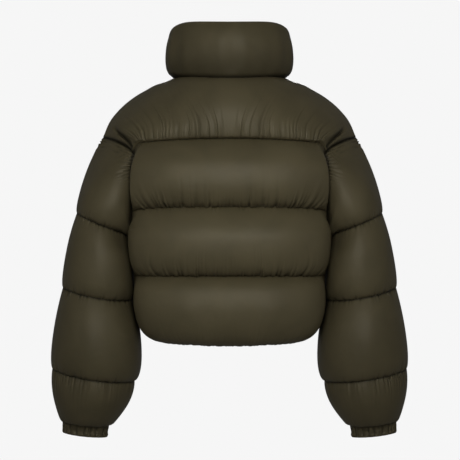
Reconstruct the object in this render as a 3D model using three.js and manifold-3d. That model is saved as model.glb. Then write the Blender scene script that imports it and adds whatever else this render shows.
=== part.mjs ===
// A cropped puffer jacket with a funnel collar, filled out as it is when worn.
// Each padded piece is one closed wall: a plain inside, and an outside raised into
// the pillows between its sewn lines. Lengths are in millimetres and +Z is up.
// The front faces -Y, the wearer's left is +X, and the origin is midway between the
// shoulders at the root of the neck.
import * as THREE from 'three';
import { mergeVertices } from 'three/addons/utils/BufferGeometryUtils.js';
import Module from 'manifold-3d';

const wasm = await Module();
wasm.setup();

// Driving sizes
const SEAM_GAP = 0.3; // between two pieces that are sewn together
const SEWN_THICKNESS = 5; // shell, crushed filling and lining along a sewn line
const ZIP_OPENING = 5; // from the centre line to each front edge
const BODY_SQUARENESS = 3.2; // 2 is an ellipse, and more is a rounder rectangle
const BACK_PILLOW = 31; // how far the body's pillows stand above their sewn lines
const YOKE_PILLOW = 17;
const SLEEVE_SIDE = 64; // how far back and forward the sleeve lies against the body
const EDGE_ROUND = 36; // width over which a pillow rounds off from there
const SIDE_SHARE = 0.06; // what is left of the pillow under the sleeve
const YOKE_SKEW = 0.38; // below 1 the yoke's pillow is fullest low down
const HALF_GIRTH = 235; // cloth from the centre line to the side, on the middle pillow
const COLLAR_HEIGHT = 106;
const COLLAR_THICKNESS = 28;
const COLLAR_LENGTH = 560; // round the neck, from one side of the zip to the other
const COLLAR_LEAN = 5; // how far its top leans in at the back
const COLLAR_DIP = 9; // how much lower its top is at the two sides
const COLLAR_TUCK = { back: 0.7, side: 0.36 }; // share of its height where it is at full thickness
const COLLAR_BELLY = 0.24; // how much further its outer face swells halfway up
const COLLAR_EDGE = { flat: 18, round: 50, drop: 6 }; // beside the zip: plain cloth, then filling out
const ZIP_TURN = 0.058; // radians round the neck from centre front to each end of the collar
const SLIDER = { width: 8, depth: 5.6, height: 13 };
const TAB = { width: 6, length: 30, thickness: 1.4, slot: 4.6 };
const BRIDGE = { width: 2.2, reach: 3.8, height: 8.8, bar: 1.2 }; // the arch that holds the tab
const CUFF_RIBS = 20;
const RIB_DEPTH = 2.2;
const PUCKER_DEPTH = 3.2;

// The body's inside wall, from the hem up
const TORSO = [
  { z: -494, halfWidth: 116, halfDepth: 90 },
  { z: -478, halfWidth: 147, halfDepth: 102 },
  { z: -460, halfWidth: 161, halfDepth: 110 },
  { z: -434, halfWidth: 167, halfDepth: 114 },
  { z: -400, halfWidth: 171, halfDepth: 117 },
  { z: -367, halfWidth: 174, halfDepth: 118 },
  { z: -303, halfWidth: 177, halfDepth: 121 },
  { z: -242, halfWidth: 185, halfDepth: 122 },
  { z: -180, halfWidth: 196, halfDepth: 120 },
  { z: -115, halfWidth: 198, halfDepth: 111 },
];

// Sewn lines across the body: height at the centre, and rise towards the side
const BODY_LINES = [
  { z: -489, rise: 22, puckers: 5 },
  { z: -367, rise: -3, puckers: 5 },
  { z: -242, rise: -7, puckers: 5 },
  { z: -118, rise: -25, puckers: 6 },
];
const HEM = 0;
const YOKE = 3;
const UNDERARM = 1.66; // where the side seam ends, as a share of the way up the body's lines
const bodyEdgeZ = (level) => {
  const k = Math.min(Math.floor(level), YOKE - 1);
  const [low, high] = BODY_LINES.slice(k, k + 2);
  return mix(low.z + low.rise, high.z + high.rise, level - k);
};

// The armhole of the wearer's left side, from the underarm round the back to the
// shoulder. lean tips the sewn edge outwards, and run sends the sleeve out sideways.
const YOKE_CORNER = 140;
const ARMHOLE = [
  { turn: 0, x: 177.5, y: 0, z: bodyEdgeZ(UNDERARM), lean: 1, run: 1.4 },
  { turn: 30, x: 178, y: 40, z: bodyEdgeZ(UNDERARM) + 9, lean: 0.85, run: 1.2 },
  { turn: 60, x: 178.5, y: 65, z: -251, lean: 0.5, run: 1 },
  { turn: 90, x: 178, y: 74, z: -214, lean: 0.22, run: 0.9 },
  { turn: 118, x: 177, y: 73, z: -173, lean: 0.14, run: 0.8 },
  { turn: YOKE_CORNER, x: 177, y: 66, z: bodyEdgeZ(YOKE), lean: 0.3, run: 0.55 },
  { turn: 160, x: 205, y: 36, z: -123, lean: 1, run: 0.25 },
  { turn: 180, x: 233, y: -5, z: -111, lean: 1.9, run: 0.1 },
];
const ARMHOLE_MIDDLE = { y: 0, z: -205 };
const ARMHOLE_TURN = THREE.MathUtils.degToRad(68); // how far round the body its back edge is
const SEAM_SHIFT = 150; // the turn from which the shoulder seam's shift forwards sets in

// The neck's inside edge, and the ridge of the shoulder that runs from it
const NECK = { halfWidth: 100, back: 70, front: 88, backZ: -6, sideZ: -1, frontZ: -45 };
const NECK_TURN = 96; // where the shoulder seam meets the neck, from centre back
const NECK_SHARE = 0.43; // that place, as a share of the yoke's half width
const SHOULDER = [
  { share: 0, x: 99, z: -7, lift: 0 },
  { share: 0.25, x: 136, z: -27, lift: 0.75 },
  { share: 0.5, x: 169, z: -50, lift: 1.1 },
  { share: 0.75, x: 203, z: -79, lift: 1.05 },
  { share: 1, x: 234, z: -112, lift: 0.3 },
];

// Sewn lines round the sleeve, as the inside wall's ovals. tilt raises the outer side.
const SLEEVE_LINES = [
  { level: 1, x: 237.4, z: -273, halfWidth: 48.6, halfDepth: 73, tilt: 25.4, sag: 1 },
  { level: 2, x: 247.6, z: -403.5, halfWidth: 61.2, halfDepth: 75, tilt: 11.3, sag: 5 },
  { level: 3, x: 255.4, z: -554, halfWidth: 73, halfDepth: 71, tilt: 9, sag: 5 },
  { level: 4, x: 270, z: -647, halfWidth: 39, halfDepth: 27, tilt: 5, sag: 1 },
  { level: 5, x: 271.6, z: -668.5, halfWidth: 36.5, halfDepth: 26, tilt: 7, sag: 1 },
];
const CUFF = 4;
const CUFF_END = 5;

// Pillows of the sleeve from the shoulder down: how far each side stands out, and the
// fill that is pressed out of the two corners beside the body
const SLEEVE_PILLOWS = [
  { outer: 5, face: 17, inner: 2, pressed: 0, puckers: 9 },
  { outer: 5.5, face: 17, inner: 2, pressed: 8, puckers: 9 },
  { outer: 4.5, face: 17, inner: 11, pressed: 5, puckers: 9 },
  { outer: 5, face: 15, inner: 6.5, pressed: 0, puckers: 9 },
];

// Rows across one pillow, closer together beside its sewn lines
const PILLOW_ROWS = [0, 0.05, 0.17, 0.36, 0.66, 0.84, 0.95];
const UNDERARM_ROWS = [0, 0.05, 0.17, 0.36, 0.66, 0.7, 0.76, 0.85, 0.95];
const YOKE_ROWS = [0, 0.06, 0.2, 0.4, 0.6, 0.8, 0.94, 1];
const CUFF_ROWS = [0, 0.15, 0.5, 0.85, 1];
const HALF_COLUMNS = 24;
const COLLAR_STATIONS = 44;
const COLLAR_SIDES = 16;

// The zip: two tapes and the row of teeth, across the body and outwards from its inside
const TAPE_STRIP = { from: 0.6, to: 10, near: -4, far: -2.8 };
const TEETH_STRIP = { from: -2.8, to: 2.8, near: -0.2, far: 2 };
const TEETH_TOP_STEP = 4; // the last station of the zip line is at least this far below the slider
const ZIP_TOP = 0.96; // the tapes end at this share of the collar's height
const SLIDER_PLACE = 0.9; // and the slider stands at this one

// Small helpers
function mix(a, b, share) {
  return a + (b - a) * share;
}
const radians = THREE.MathUtils.degToRad;
const point = (x, y, z) => new THREE.Vector3(x, y, z);
const smooth = (x) => THREE.MathUtils.smoothstep(x, 0, 1);
const blend = (a, b, share) => a.clone().lerp(b, share);

// A column of a table at any place along its key, on a smooth curve through the rows
function read(rows, key, column, at) {
  const last = rows.length - 1;
  const above = rows.findIndex((row) => row[key] > at);
  const i = above < 0 ? last - 1 : Math.max(0, above - 1);
  const slope = (j) => {
    const before = rows[Math.max(0, j - 1)];
    const after = rows[Math.min(last, j + 1)];
    return (after[column] - before[column]) / (after[key] - before[key]);
  };
  const width = rows[i + 1][key] - rows[i][key];
  const t = THREE.MathUtils.clamp((at - rows[i][key]) / width, 0, 1);
  const rest = 1 - t;
  return rows[i][column] * (1 + 2 * t) * rest * rest + rows[i + 1][column] * t * t * (3 - 2 * t)
    + width * (slope(i) * t * rest * rest - slope(i + 1) * t * t * rest);
}

// Height of a pillow from one sewn line, at 0, to the next, at 1
function pillow(share) {
  const away = Math.abs(2 * THREE.MathUtils.clamp(share, 0, 1) - 1);
  return (1 - away ** 2.3) ** 0.72;
}

// Height of a hanging pillow over its share of the way up. Its fill settles, so it curls
// under steeply at the bottom and slopes evenly at the top.
function baffle(share) {
  const away = Math.abs(2 * THREE.MathUtils.clamp(share, 0, 1) ** 0.85 - 1);
  return (1 - away ** 2.3) ** mix(0.6, 0.95, smooth((share - 0.3) / 0.5));
}

// Gathers beside a sewn line: they are deep next to it and gone a third of the way off.
// Their spacing is uneven, from two waves that drift against each other.
function pucker(share, along, count) {
  const off = Math.min(share, 1 - share);
  const reach = smooth(off / 0.05) * smooth((0.36 - off) / 0.3);
  const wave = Math.sin(2 * Math.PI * (along * count + 0.22 * Math.sin(along * 17 + share * 3)));
  return PUCKER_DEPTH * reach * (0.5 + 0.5 * wave);
}

// Shapes of the body. side is 1 for the back and -1 for the front.
function torsoRing(turn, z, side) {
  const across = Math.abs(Math.sin(turn)) / read(TORSO, 'z', 'halfWidth', z);
  const deep = Math.abs(Math.cos(turn)) / read(TORSO, 'z', 'halfDepth', z);
  const power = BODY_SQUARENESS;
  const radius = (across ** power + deep ** power) ** (-1 / power);
  return point(radius * Math.sin(turn), side * radius * Math.cos(turn), z);
}

function armholePoint(turn, side = 1) {
  const y = read(ARMHOLE, 'turn', 'y', turn);
  const x = read(ARMHOLE, 'turn', 'x', turn);
  const z = read(ARMHOLE, 'turn', 'z', turn);
  const seamY = ARMHOLE[ARMHOLE.length - 1].y;
  // The front half is the back half turned over, but for the seam's own shift at the top.
  const shift = side > 0 ? 0 : 2 * seamY * smooth((turn - SEAM_SHIFT) / (180 - SEAM_SHIFT));
  return point(x, side * y + shift, z);
}

// Direction of the sewn edge round the armhole, from inside to outside
function armholeLift(turn, side = 1) {
  const at = armholePoint(turn, side);
  const out = point(0, at.y - ARMHOLE_MIDDLE.y, at.z - ARMHOLE_MIDDLE.z).normalize();
  return out.add(point(read(ARMHOLE, 'turn', 'lean', turn), 0, 0)).normalize();
}

// The turn at which the armhole passes a height, below the yoke's corner
function armholeTurn(z) {
  let low = 0;
  let high = YOKE_CORNER;
  for (let i = 0; i < 30; i += 1) {
    const middle = (low + high) / 2;
    if (armholePoint(middle).z < z) low = middle;
    else high = middle;
  }
  return (low + high) / 2;
}

// Even steps of cloth need smaller turns where the body's corner is far from its middle.
const bodyTurn = (share) => 1.25 * share - 0.25 * share * share;

// A place on the inside wall below the yoke: level counts sewn lines up from the hem,
// and share runs from the centre line to the side seam or armhole. The hem climbs evenly
// to its edge, and the lines above turn down close to theirs.
function bodyPoint(level, share, side) {
  const edgeZ = bodyEdgeZ(level);
  const k = Math.min(Math.floor(level), YOKE - 1);
  const centreZ = mix(BODY_LINES[k].z, BODY_LINES[k + 1].z, level - k);
  const turnedDown = 0.35 * share ** 2 + 0.65 * share ** 16;
  const z = mix(centreZ, edgeZ, mix(share ** 3, turnedDown, smooth(level)));
  const edge = level <= UNDERARM
    ? torsoRing(Math.PI / 2, edgeZ, side)
    : armholePoint(armholeTurn(edgeZ), side);
  const edgeTurn = level <= UNDERARM ? Math.PI / 2 : Math.atan2(edge.x, Math.abs(edge.y));
  const fit = edge.sub(torsoRing(edgeTurn, edgeZ, side));
  const easyTurn = mix(Math.PI / 2, ARMHOLE_TURN, smooth(level - 1.1));
  const turn = easyTurn * bodyTurn(share) + (edgeTurn - easyTurn) * share ** 10;
  return torsoRing(turn, z, side).addScaledVector(fit, share ** 4);
}

function bodyEdgeLift(level, side) {
  const seam = point(1, 0, 0);
  if (level <= UNDERARM - 0.25) return seam;
  if (level <= UNDERARM) {
    return blend(seam, armholeLift(0, side), smooth((level - UNDERARM + 0.25) / 0.25)).normalize();
  }
  return armholeLift(armholeTurn(bodyEdgeZ(level)), side);
}

// Outward direction along the seam between body and yoke
function yokeSeamLift(share, side) {
  const turn = 1.2 * share;
  const plain = point(Math.sin(turn), side * Math.cos(turn), 0.12).normalize();
  return blend(plain, armholeLift(YOKE_CORNER, side), smooth((share - 0.75) / 0.25)).normalize();
}

function neckPoint(turn) {
  const c = Math.cos(turn);
  const s = Math.sin(turn);
  const depth = c > 0 ? NECK.back : NECK.front;
  const z = mix(NECK.sideZ, c > 0 ? NECK.backZ : NECK.frontZ, c * c);
  return point(NECK.halfWidth * s, depth * c, z);
}

function neckLift(turn) {
  return point(Math.sin(turn) / NECK.halfWidth, Math.cos(turn) / NECK.back, 0)
    .normalize().add(point(0, 0, 0.45)).normalize();
}

// The yoke's upper edge: round the neck, then out along the shoulder
function yokeTop(share, side) {
  const corner = radians(NECK_TURN);
  if (share <= NECK_SHARE) {
    const turn = side > 0 ? corner * (share / NECK_SHARE)
      : Math.PI - (Math.PI - corner) * (share / NECK_SHARE);
    return { at: neckPoint(turn), lift: neckLift(turn), along: 0 };
  }
  const along = (share - NECK_SHARE) / (1 - NECK_SHARE);
  const start = neckPoint(corner);
  const x = mix(read(SHOULDER, 'share', 'x', along), start.x, (1 - along) ** 8);
  const z = mix(read(SHOULDER, 'share', 'z', along), start.z, (1 - along) ** 8);
  const y = mix(start.y, ARMHOLE[ARMHOLE.length - 1].y, smooth(along));
  const slope = mix(0.45, 1.1, along);
  const ridge = point(slope, 0, 1).normalize();
  const lift = blend(neckLift(corner), ridge, smooth(along / 0.3));
  lift.lerp(armholeLift(180), smooth((along - 0.7) / 0.3));
  return { at: point(x, y, z), lift: lift.normalize(), along };
}

// The same edge with its corner at the neck rounded off, which the yoke's body follows
function easedTop(share, side) {
  const reach = Math.min(0.16, share, 1 - share);
  const sum = point(0, 0, 0);
  for (const off of [-1, -0.5, 0, 0.5, 1]) sum.add(yokeTop(share + off * reach, side).at);
  return sum.divideScalar(5);
}

function yokePoint(up, share, side) {
  const from = bodyPoint(YOKE, share, side);
  const top = easedTop(share, side);
  const corner = yokeTop(share, side).at.sub(top);
  const onShoulder = smooth((share - NECK_SHARE + 0.2) / 0.5);
  const outward = neckLift(side > 0 ? share * 2 : Math.PI - share * 2);
  const fromNeck = point(outward.x, outward.y, -0.3).normalize();
  const away = blend(fromNeck, point(0.25, side, -0.25), onShoulder).normalize();
  const reach = from.distanceTo(top);
  const curve = new THREE.CubicBezierCurve3(
    from,
    from.clone().add(point(0, -side * 0.06, 1).multiplyScalar(0.34 * reach)),
    top.clone().addScaledVector(away, 0.27 * reach),
    top,
  );
  const at = curve.getPoint(up);
  // The armhole pulls the outermost columns onto its own line.
  const pull = smooth((share - 0.55) / 0.45);
  const edgeTurn = mix(YOKE_CORNER, 180, up);
  if (pull > 0) {
    const edgeFrom = bodyPoint(YOKE, 1, side);
    const line = armholePoint(edgeTurn, side);
    const straight = blend(edgeFrom, yokeTop(1, side).at, up);
    const bulge = at.clone().sub(blend(from, top, up)).multiplyScalar(1 - pull);
    at.copy(blend(from, top, up)).add(bulge).addScaledVector(line.sub(straight), pull);
  }
  return at.addScaledVector(corner, up ** 8);
}

// Shapes of the sleeve. turn is 0 at the underarm, 90 at the back and 180 outside.
function sleeveRing(level, turn) {
  const column = (name) => read(SLEEVE_LINES, 'level', name, level);
  const tilt = radians(column('tilt'));
  const across = -Math.cos(turn) * column('halfWidth');
  const deep = Math.sin(turn) * column('halfDepth');
  return point(
    column('x') + across * Math.cos(tilt),
    deep,
    column('z') + across * Math.sin(tilt) - column('sag') * Math.sin(turn) ** 2,
  );
}

// A whole turn round the armhole, in degrees, read from its half table
function armholeRound(degrees) {
  const side = degrees <= 180 ? 1 : -1;
  const turn = degrees <= 180 ? degrees : 360 - degrees;
  return { turn, side };
}

// The sleeve's columns start at the rows of the body and yoke, so that both edges match.
function sleeveColumns() {
  const body = bodyLevels.filter((level) => level >= UNDERARM)
    .map((level) => (level <= UNDERARM ? 0 : armholeTurn(bodyEdgeZ(level))));
  body[body.length - 1] = YOKE_CORNER;
  const half = body.concat(YOKE_ROWS.slice(1).map((up) => mix(YOKE_CORNER, 180, up)));
  const other = half.slice(1, -1).map((turn) => 360 - turn).reverse();
  return half.concat(other).map((turn) => turn / 360);
}

// A place on the sleeve's inside wall. Above its first sewn line it is a cubic curve
// from the armhole, sent out sideways first, and down along the sleeve at its end.
function sleevePoint(level, degrees) {
  const turn = radians(degrees);
  if (level >= 1) return sleeveRing(level, turn);
  const { turn: half, side } = armholeRound(degrees);
  const start = armholePoint(half, side);
  const end = sleeveRing(1, turn);
  const chord = end.clone().sub(start);
  const length = chord.length();
  const leave = chord.clone().normalize().add(point(read(ARMHOLE, 'turn', 'run', half), 0, 0))
    .normalize().multiplyScalar(length);
  const arrive = sleeveRing(1.02, turn).sub(end).normalize().multiplyScalar(length);
  const t = level;
  const rest = 1 - t;
  return start.multiplyScalar((1 + 2 * t) * rest * rest)
    .addScaledVector(end, t * t * (3 - 2 * t))
    .addScaledVector(leave, t * rest * rest)
    .addScaledVector(arrive, -t * t * rest);
}

// Normal of a surface by small steps each way; flip turns it to the outside.
function surfaceNormal(surface, u, v, flip, stepU = 0.004, stepV = 0.004) {
  const acrossU = surface(Math.min(1, u + stepU), v).sub(surface(Math.max(0, u - stepU), v));
  const acrossV = surface(u, Math.min(1, v + stepV)).sub(surface(u, Math.max(0, v - stepV)));
  return acrossU.cross(acrossV).normalize().multiplyScalar(flip);
}

// Outward direction inside a panel: the surface's own normal, eased over to the
// direction that each edge shares with its neighbour. edges gives { near, lift }.
function easedLift(normal, edges) {
  const lift = normal.clone();
  for (const { near, lift: shared } of edges) lift.lerp(shared, near);
  return lift.normalize();
}

// Triangles between two lines of vertices, each vertex given as { id, along }
function zipTogether(outer, inner, triangles) {
  let i = 0;
  let j = 0;
  while (i < outer.length - 1 || j < inner.length - 1) {
    const stepOuter = j === inner.length - 1
      || (i < outer.length - 1 && outer[i + 1].along <= inner[j + 1].along);
    if (stepOuter) {
      triangles.push([outer[i].id, outer[i + 1].id, inner[j].id]);
      i += 1;
    } else {
      triangles.push([outer[i].id, inner[j + 1].id, inner[j].id]);
      j += 1;
    }
  }
}

// Moves the outermost points of a grid inwards by half the gap between two pieces.
function openGaps(grid, wrap) {
  const last = grid.length - 1;
  const shift = (at, towards) => at.add(towards.clone().sub(at).setLength(SEAM_GAP / 2));
  grid[0].forEach((at, j) => shift(at, grid[1][j]));
  grid[last].forEach((at, j) => shift(at, grid[last - 1][j]));
  if (wrap) return;
  for (const row of grid) {
    shift(row[0], row[1]);
    shift(row[row.length - 1], row[row.length - 2]);
  }
}

// A padded wall as one closed solid. rows and columns are lists of places along the
// panel; inside(u, v) is its plain inner surface and outside(u, v) its raised one.
// The inner surface keeps every edge vertex, and one in skip each way between them.
function paddedWall({ rows, columns, inside, outside, wrap = false, skip = 3 }) {
  const outer = rows.map((v) => columns.map((u) => outside(u, v)));
  const inner = rows.map((v) => columns.map((u) => inside(u, v)));
  const shiftLike = (grid, guide) => {
    const before = guide.map((row) => row.map((at) => at.clone()));
    openGaps(guide, wrap);
    grid.forEach((row, i) => row.forEach((at, j) => at.add(guide[i][j].clone().sub(before[i][j]))));
  };
  shiftLike(outer, inner);
  const vertices = [];
  const triangles = [];
  const add = (at) => vertices.push(at) - 1;
  const outerIds = outer.map((row) => row.map(add));
  const nRows = rows.length;
  const nColumns = columns.length;
  const lastRow = nRows - 1;
  const lastColumn = nColumns - 1;
  const next = (j) => (wrap ? (j + 1) % nColumns : j + 1);
  const cells = wrap ? nColumns : lastColumn;
  const quad = (a, b, c, d) => triangles.push([a, b, c], [a, c, d]);
  for (let i = 0; i < lastRow; i += 1) {
    const [low, high] = [outerIds[i], outerIds[i + 1]];
    for (let j = 0; j < cells; j += 1) quad(low[j], low[next(j)], high[next(j)], high[j]);
  }
  const edgeIds = new Map();
  const edgeId = (i, j) => {
    const key = `${i},${j}`;
    if (!edgeIds.has(key)) edgeIds.set(key, add(inner[i][j]));
    return edgeIds.get(key);
  };
  const [lowest, highest] = [outerIds[0], outerIds[lastRow]];
  for (let j = 0; j < cells; j += 1) {
    const k = next(j);
    quad(edgeId(0, k), lowest[k], lowest[j], edgeId(0, j));
    quad(highest[j], highest[k], edgeId(lastRow, k), edgeId(lastRow, j));
  }
  if (!wrap) {
    for (let i = 0; i < lastRow; i += 1) {
      const [low, high] = [outerIds[i], outerIds[i + 1]];
      quad(edgeId(i, 0), low[0], high[0], edgeId(i + 1, 0));
      quad(edgeId(i, lastColumn), edgeId(i + 1, lastColumn), high[lastColumn], low[lastColumn]);
    }
  }
  // Inner surface: a sparse grid, zipped to the full edge all round
  const inwards = (count) => {
    const kept = [];
    for (let i = 2; i < count - 2; i += skip) kept.push(i);
    if (kept[kept.length - 1] < count - 3) kept.push(count - 3);
    return kept;
  };
  const sparseRows = inwards(nRows);
  const sparseColumns = wrap ? columns.map((u, j) => j).filter((j) => j % skip === 0) : inwards(nColumns);
  const sparse = sparseRows.map((i) => sparseColumns.map((j) => add(inner[i][j])));
  const nSparse = sparseColumns.length;
  const nextSparse = (j) => (wrap ? (j + 1) % nSparse : j + 1);
  for (let i = 0; i < sparseRows.length - 1; i += 1) {
    for (let j = 0; j < (wrap ? nSparse : nSparse - 1); j += 1) {
      quad(sparse[i][j], sparse[i + 1][j], sparse[i + 1][nextSparse(j)], sparse[i][nextSparse(j)]);
    }
  }
  const zipEdge = (full, thin, flip) => {
    const made = [];
    zipTogether(full, thin, made);
    for (const [a, b, c] of made) triangles.push(flip ? [a, c, b] : [a, b, c]);
  };
  const lastSparse = sparse.length - 1;
  const alongRow = (i) => {
    const line = columns.map((u, j) => ({ id: edgeId(i, j), along: j }));
    if (wrap) line.push({ id: edgeId(i, 0), along: nColumns });
    return line;
  };
  const alongSparseRow = (i) => {
    const line = sparseColumns.map((j, n) => ({ id: sparse[i][n], along: j }));
    if (wrap) line.push({ id: sparse[i][0], along: nColumns });
    return line;
  };
  zipEdge(alongRow(0), alongSparseRow(0), true);
  zipEdge(alongRow(lastRow), alongSparseRow(lastSparse), false);
  if (!wrap) {
    const alongColumn = (j) => rows.map((v, i) => ({ id: edgeId(i, j), along: i }));
    const alongSparseColumn = (n) => sparseRows.map((i, k) => ({ id: sparse[k][n], along: i }));
    zipEdge(alongColumn(0), alongSparseColumn(0), false);
    zipEdge(alongColumn(lastColumn), alongSparseColumn(nSparse - 1), true);
  }
  return solidGeometry(vertices, triangles);
}

// A closed mesh from its vertices and triangles, turned to face outwards
function solidGeometry(vertices, triangles) {
  let volume = 0;
  for (const [a, b, c] of triangles) {
    volume += vertices[a].dot(vertices[b].clone().cross(vertices[c]));
  }
  const geometry = new THREE.BufferGeometry();
  const places = vertices.flatMap((at) => at.toArray());
  geometry.setAttribute('position', new THREE.Float32BufferAttribute(places, 3));
  geometry.setIndex(triangles.flatMap(([a, b, c]) => (volume > 0 ? [a, b, c] : [a, c, b])));
  geometry.computeVertexNormals();
  return geometry;
}

// The same solid on the wearer's right
function mirrored(geometry) {
  const turned = geometry.clone().applyMatrix4(new THREE.Matrix4().makeScale(-1, 1, 1));
  const index = turned.getIndex();
  for (let i = 0; i < index.count; i += 3) {
    const kept = index.getX(i + 1);
    index.setX(i + 1, index.getX(i + 2));
    index.setX(i + 2, kept);
  }
  turned.computeVertexNormals();
  return turned;
}

// Padded panels
function spread(count, from = 0, to = 1) {
  return Array.from({ length: count + 1 }, (_, i) => mix(from, to, i / count));
}
const bodyLevels = [PILLOW_ROWS, UNDERARM_ROWS, PILLOW_ROWS]
  .flatMap((rows, k) => rows.map((row) => k + row)).concat([YOKE]);
const bodyRows = bodyLevels.map((level) => level / YOKE);

// The half panel's own measures: u is 0 at the centre line and 1 at the side.
function bodyOutside(u, v, side) {
  const level = v * YOKE;
  const surface = (a, b) => bodyPoint(b * YOKE, Math.abs(a), side);
  const share = Math.abs(u);
  const normal = surfaceNormal(surface, THREE.MathUtils.clamp(share, 0.004, 1), v, side > 0 ? -1 : 1);
  const nearEdge = smooth((share - 0.8) / 0.2);
  const lift = easedLift(normal, [
    { near: smooth((v - 0.93) / 0.07), lift: yokeSeamLift(share, side) },
    { near: nearEdge, lift: bodyEdgeLift(level, side) },
  ]);
  const k = Math.min(Math.floor(level), YOKE - 1);
  const local = THREE.MathUtils.clamp(level - k, 0, 1);
  const fromSide = Math.max(0, Math.abs(bodyPoint(level, share, side).y) - SLEEVE_SIDE);
  const width = SIDE_SHARE + (1 - SIDE_SHARE) * pillow(Math.min(0.5, fromSide / EDGE_ROUND / 2));
  const gathers = pucker(local, u * (share ** 0.08) + side * 0.13 + k * 0.31, BODY_LINES[k].puckers);
  const fade = smooth(fromSide / 40);
  const flat = smooth((level - UNDERARM + 0.3) / 0.28) * smooth((share - 0.84) / 0.16);
  const loft = (BACK_PILLOW * baffle(local) * width - gathers * fade * pillow(local) * 1.3) * (1 - flat);
  return bodyPoint(level, share, side).addScaledVector(lift, SEWN_THICKNESS + Math.max(0, loft));
}

const acrossBack = (place) => (u, v) => {
  const at = place(u, v);
  return u < 0 ? at.setX(-at.x) : at;
};

function yokeOutside(u, v, side) {
  const share = Math.abs(u);
  const surface = (a, b) => yokePoint(b, Math.abs(a), side);
  const within = (x) => THREE.MathUtils.clamp(x, 0.004, 0.996);
  const normal = surfaceNormal(surface, within(share), within(v), side > 0 ? -1 : 1, 0.07, 0.04);
  const top = yokeTop(share, side);
  const lift = easedLift(normal, [
    { near: smooth((0.22 - v) / 0.22), lift: yokeSeamLift(share, side) },
    { near: smooth((v - 0.75) / 0.25), lift: top.lift },
    { near: smooth((share - 0.8) / 0.2), lift: armholeLift(mix(YOKE_CORNER, 180, v), side) },
  ]);
  const onRidge = share > NECK_SHARE
    ? read(SHOULDER, 'share', 'lift', top.along)
    : 0.25 * smooth(share / NECK_SHARE - 0.9);
  const rise = mix(pillow(v ** YOKE_SKEW), 1, onRidge * 0.75 * smooth((v - 0.2) / 0.3));
  const width = pillow(Math.min(0.5, (1 - share) / 0.28 + 0.02));
  const gathers = v < 0.5 ? pucker(v, u + 0.4 * side, BODY_LINES[YOKE].puckers) : 0;
  const fold = share > 0.6 ? cornerFold(share, v) : 0;
  const loft = YOKE_PILLOW * rise * width - gathers * width * 1.2 - fold;
  return yokePoint(v, share, side).addScaledVector(lift, SEWN_THICKNESS + Math.max(0, loft));
}

// The crease that runs up from the yoke's corner, beside the armhole seam
const CORNER_FOLD = { width: 0.03, depth: 5 };
function cornerFold(share, up) {
  const middle = mix(0.985, 0.935, Math.min(1, up / 0.65));
  const off = (share - middle) / CORNER_FOLD.width;
  return CORNER_FOLD.depth * Math.exp(-off * off) * smooth(up / 0.15) * smooth((0.8 - up) / 0.3);
}

function backPanel() {
  return paddedWall({
    rows: bodyRows,
    columns: spread(2 * HALF_COLUMNS, -1, 1),
    inside: acrossBack((u, v) => bodyPoint(v * YOKE, Math.abs(u), 1)),
    outside: acrossBack((u, v) => bodyOutside(u, v, 1)),
  });
}

function backYoke() {
  return paddedWall({
    rows: YOKE_ROWS,
    columns: spread(2 * HALF_COLUMNS, -1, 1),
    inside: acrossBack((u, v) => yokePoint(v, Math.abs(u), 1)),
    outside: acrossBack((u, v) => yokeOutside(u, v, 1)),
  });
}

// A front starts at the zip. zipShare is how far round that is, at a level.
function zipShare(level) {
  const z = mix(BODY_LINES[HEM].z, BODY_LINES[YOKE].z, level / YOKE);
  const edge = level <= UNDERARM ? Math.PI / 2 : ARMHOLE_TURN;
  return ZIP_OPENING / (read(TORSO, 'z', 'halfDepth', z) * edge * 1.25);
}
const ZIP_SHARE_AT_NECK = 0.022;

// The pillow of a front also rounds off to the zip.
function besideZip(at, base, level, share) {
  const off = Math.max(0, (share - zipShare(level)) * HALF_GIRTH);
  const width = 0.06 + 0.94 * pillow(Math.min(0.5, off / EDGE_ROUND / 2 + 0.01));
  const rise = at.clone().sub(base);
  const plain = rise.clone().setLength(SEWN_THICKNESS);
  return base.clone().add(plain.lerp(rise, width));
}

function frontPanel() {
  const shareOf = (u, v) => mix(zipShare(v * YOKE), 1, u);
  const inside = (u, v) => bodyPoint(v * YOKE, shareOf(u, v), -1);
  const outside = (u, v) => {
    const share = shareOf(u, v);
    return besideZip(bodyOutside(share, v, -1), inside(u, v), v * YOKE, share);
  };
  return paddedWall({ rows: bodyRows, columns: spread(HALF_COLUMNS), inside, outside });
}

function frontYoke() {
  const shareOf = (u, v) => mix(mix(zipShare(YOKE), ZIP_SHARE_AT_NECK, v), 1, u);
  const inside = (u, v) => yokePoint(v, shareOf(u, v), -1);
  const outside = (u, v) => {
    const share = shareOf(u, v);
    return besideZip(yokeOutside(share, v, -1), inside(u, v), YOKE, share);
  };
  return paddedWall({ rows: YOKE_ROWS, columns: spread(HALF_COLUMNS), inside, outside });
}

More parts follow.
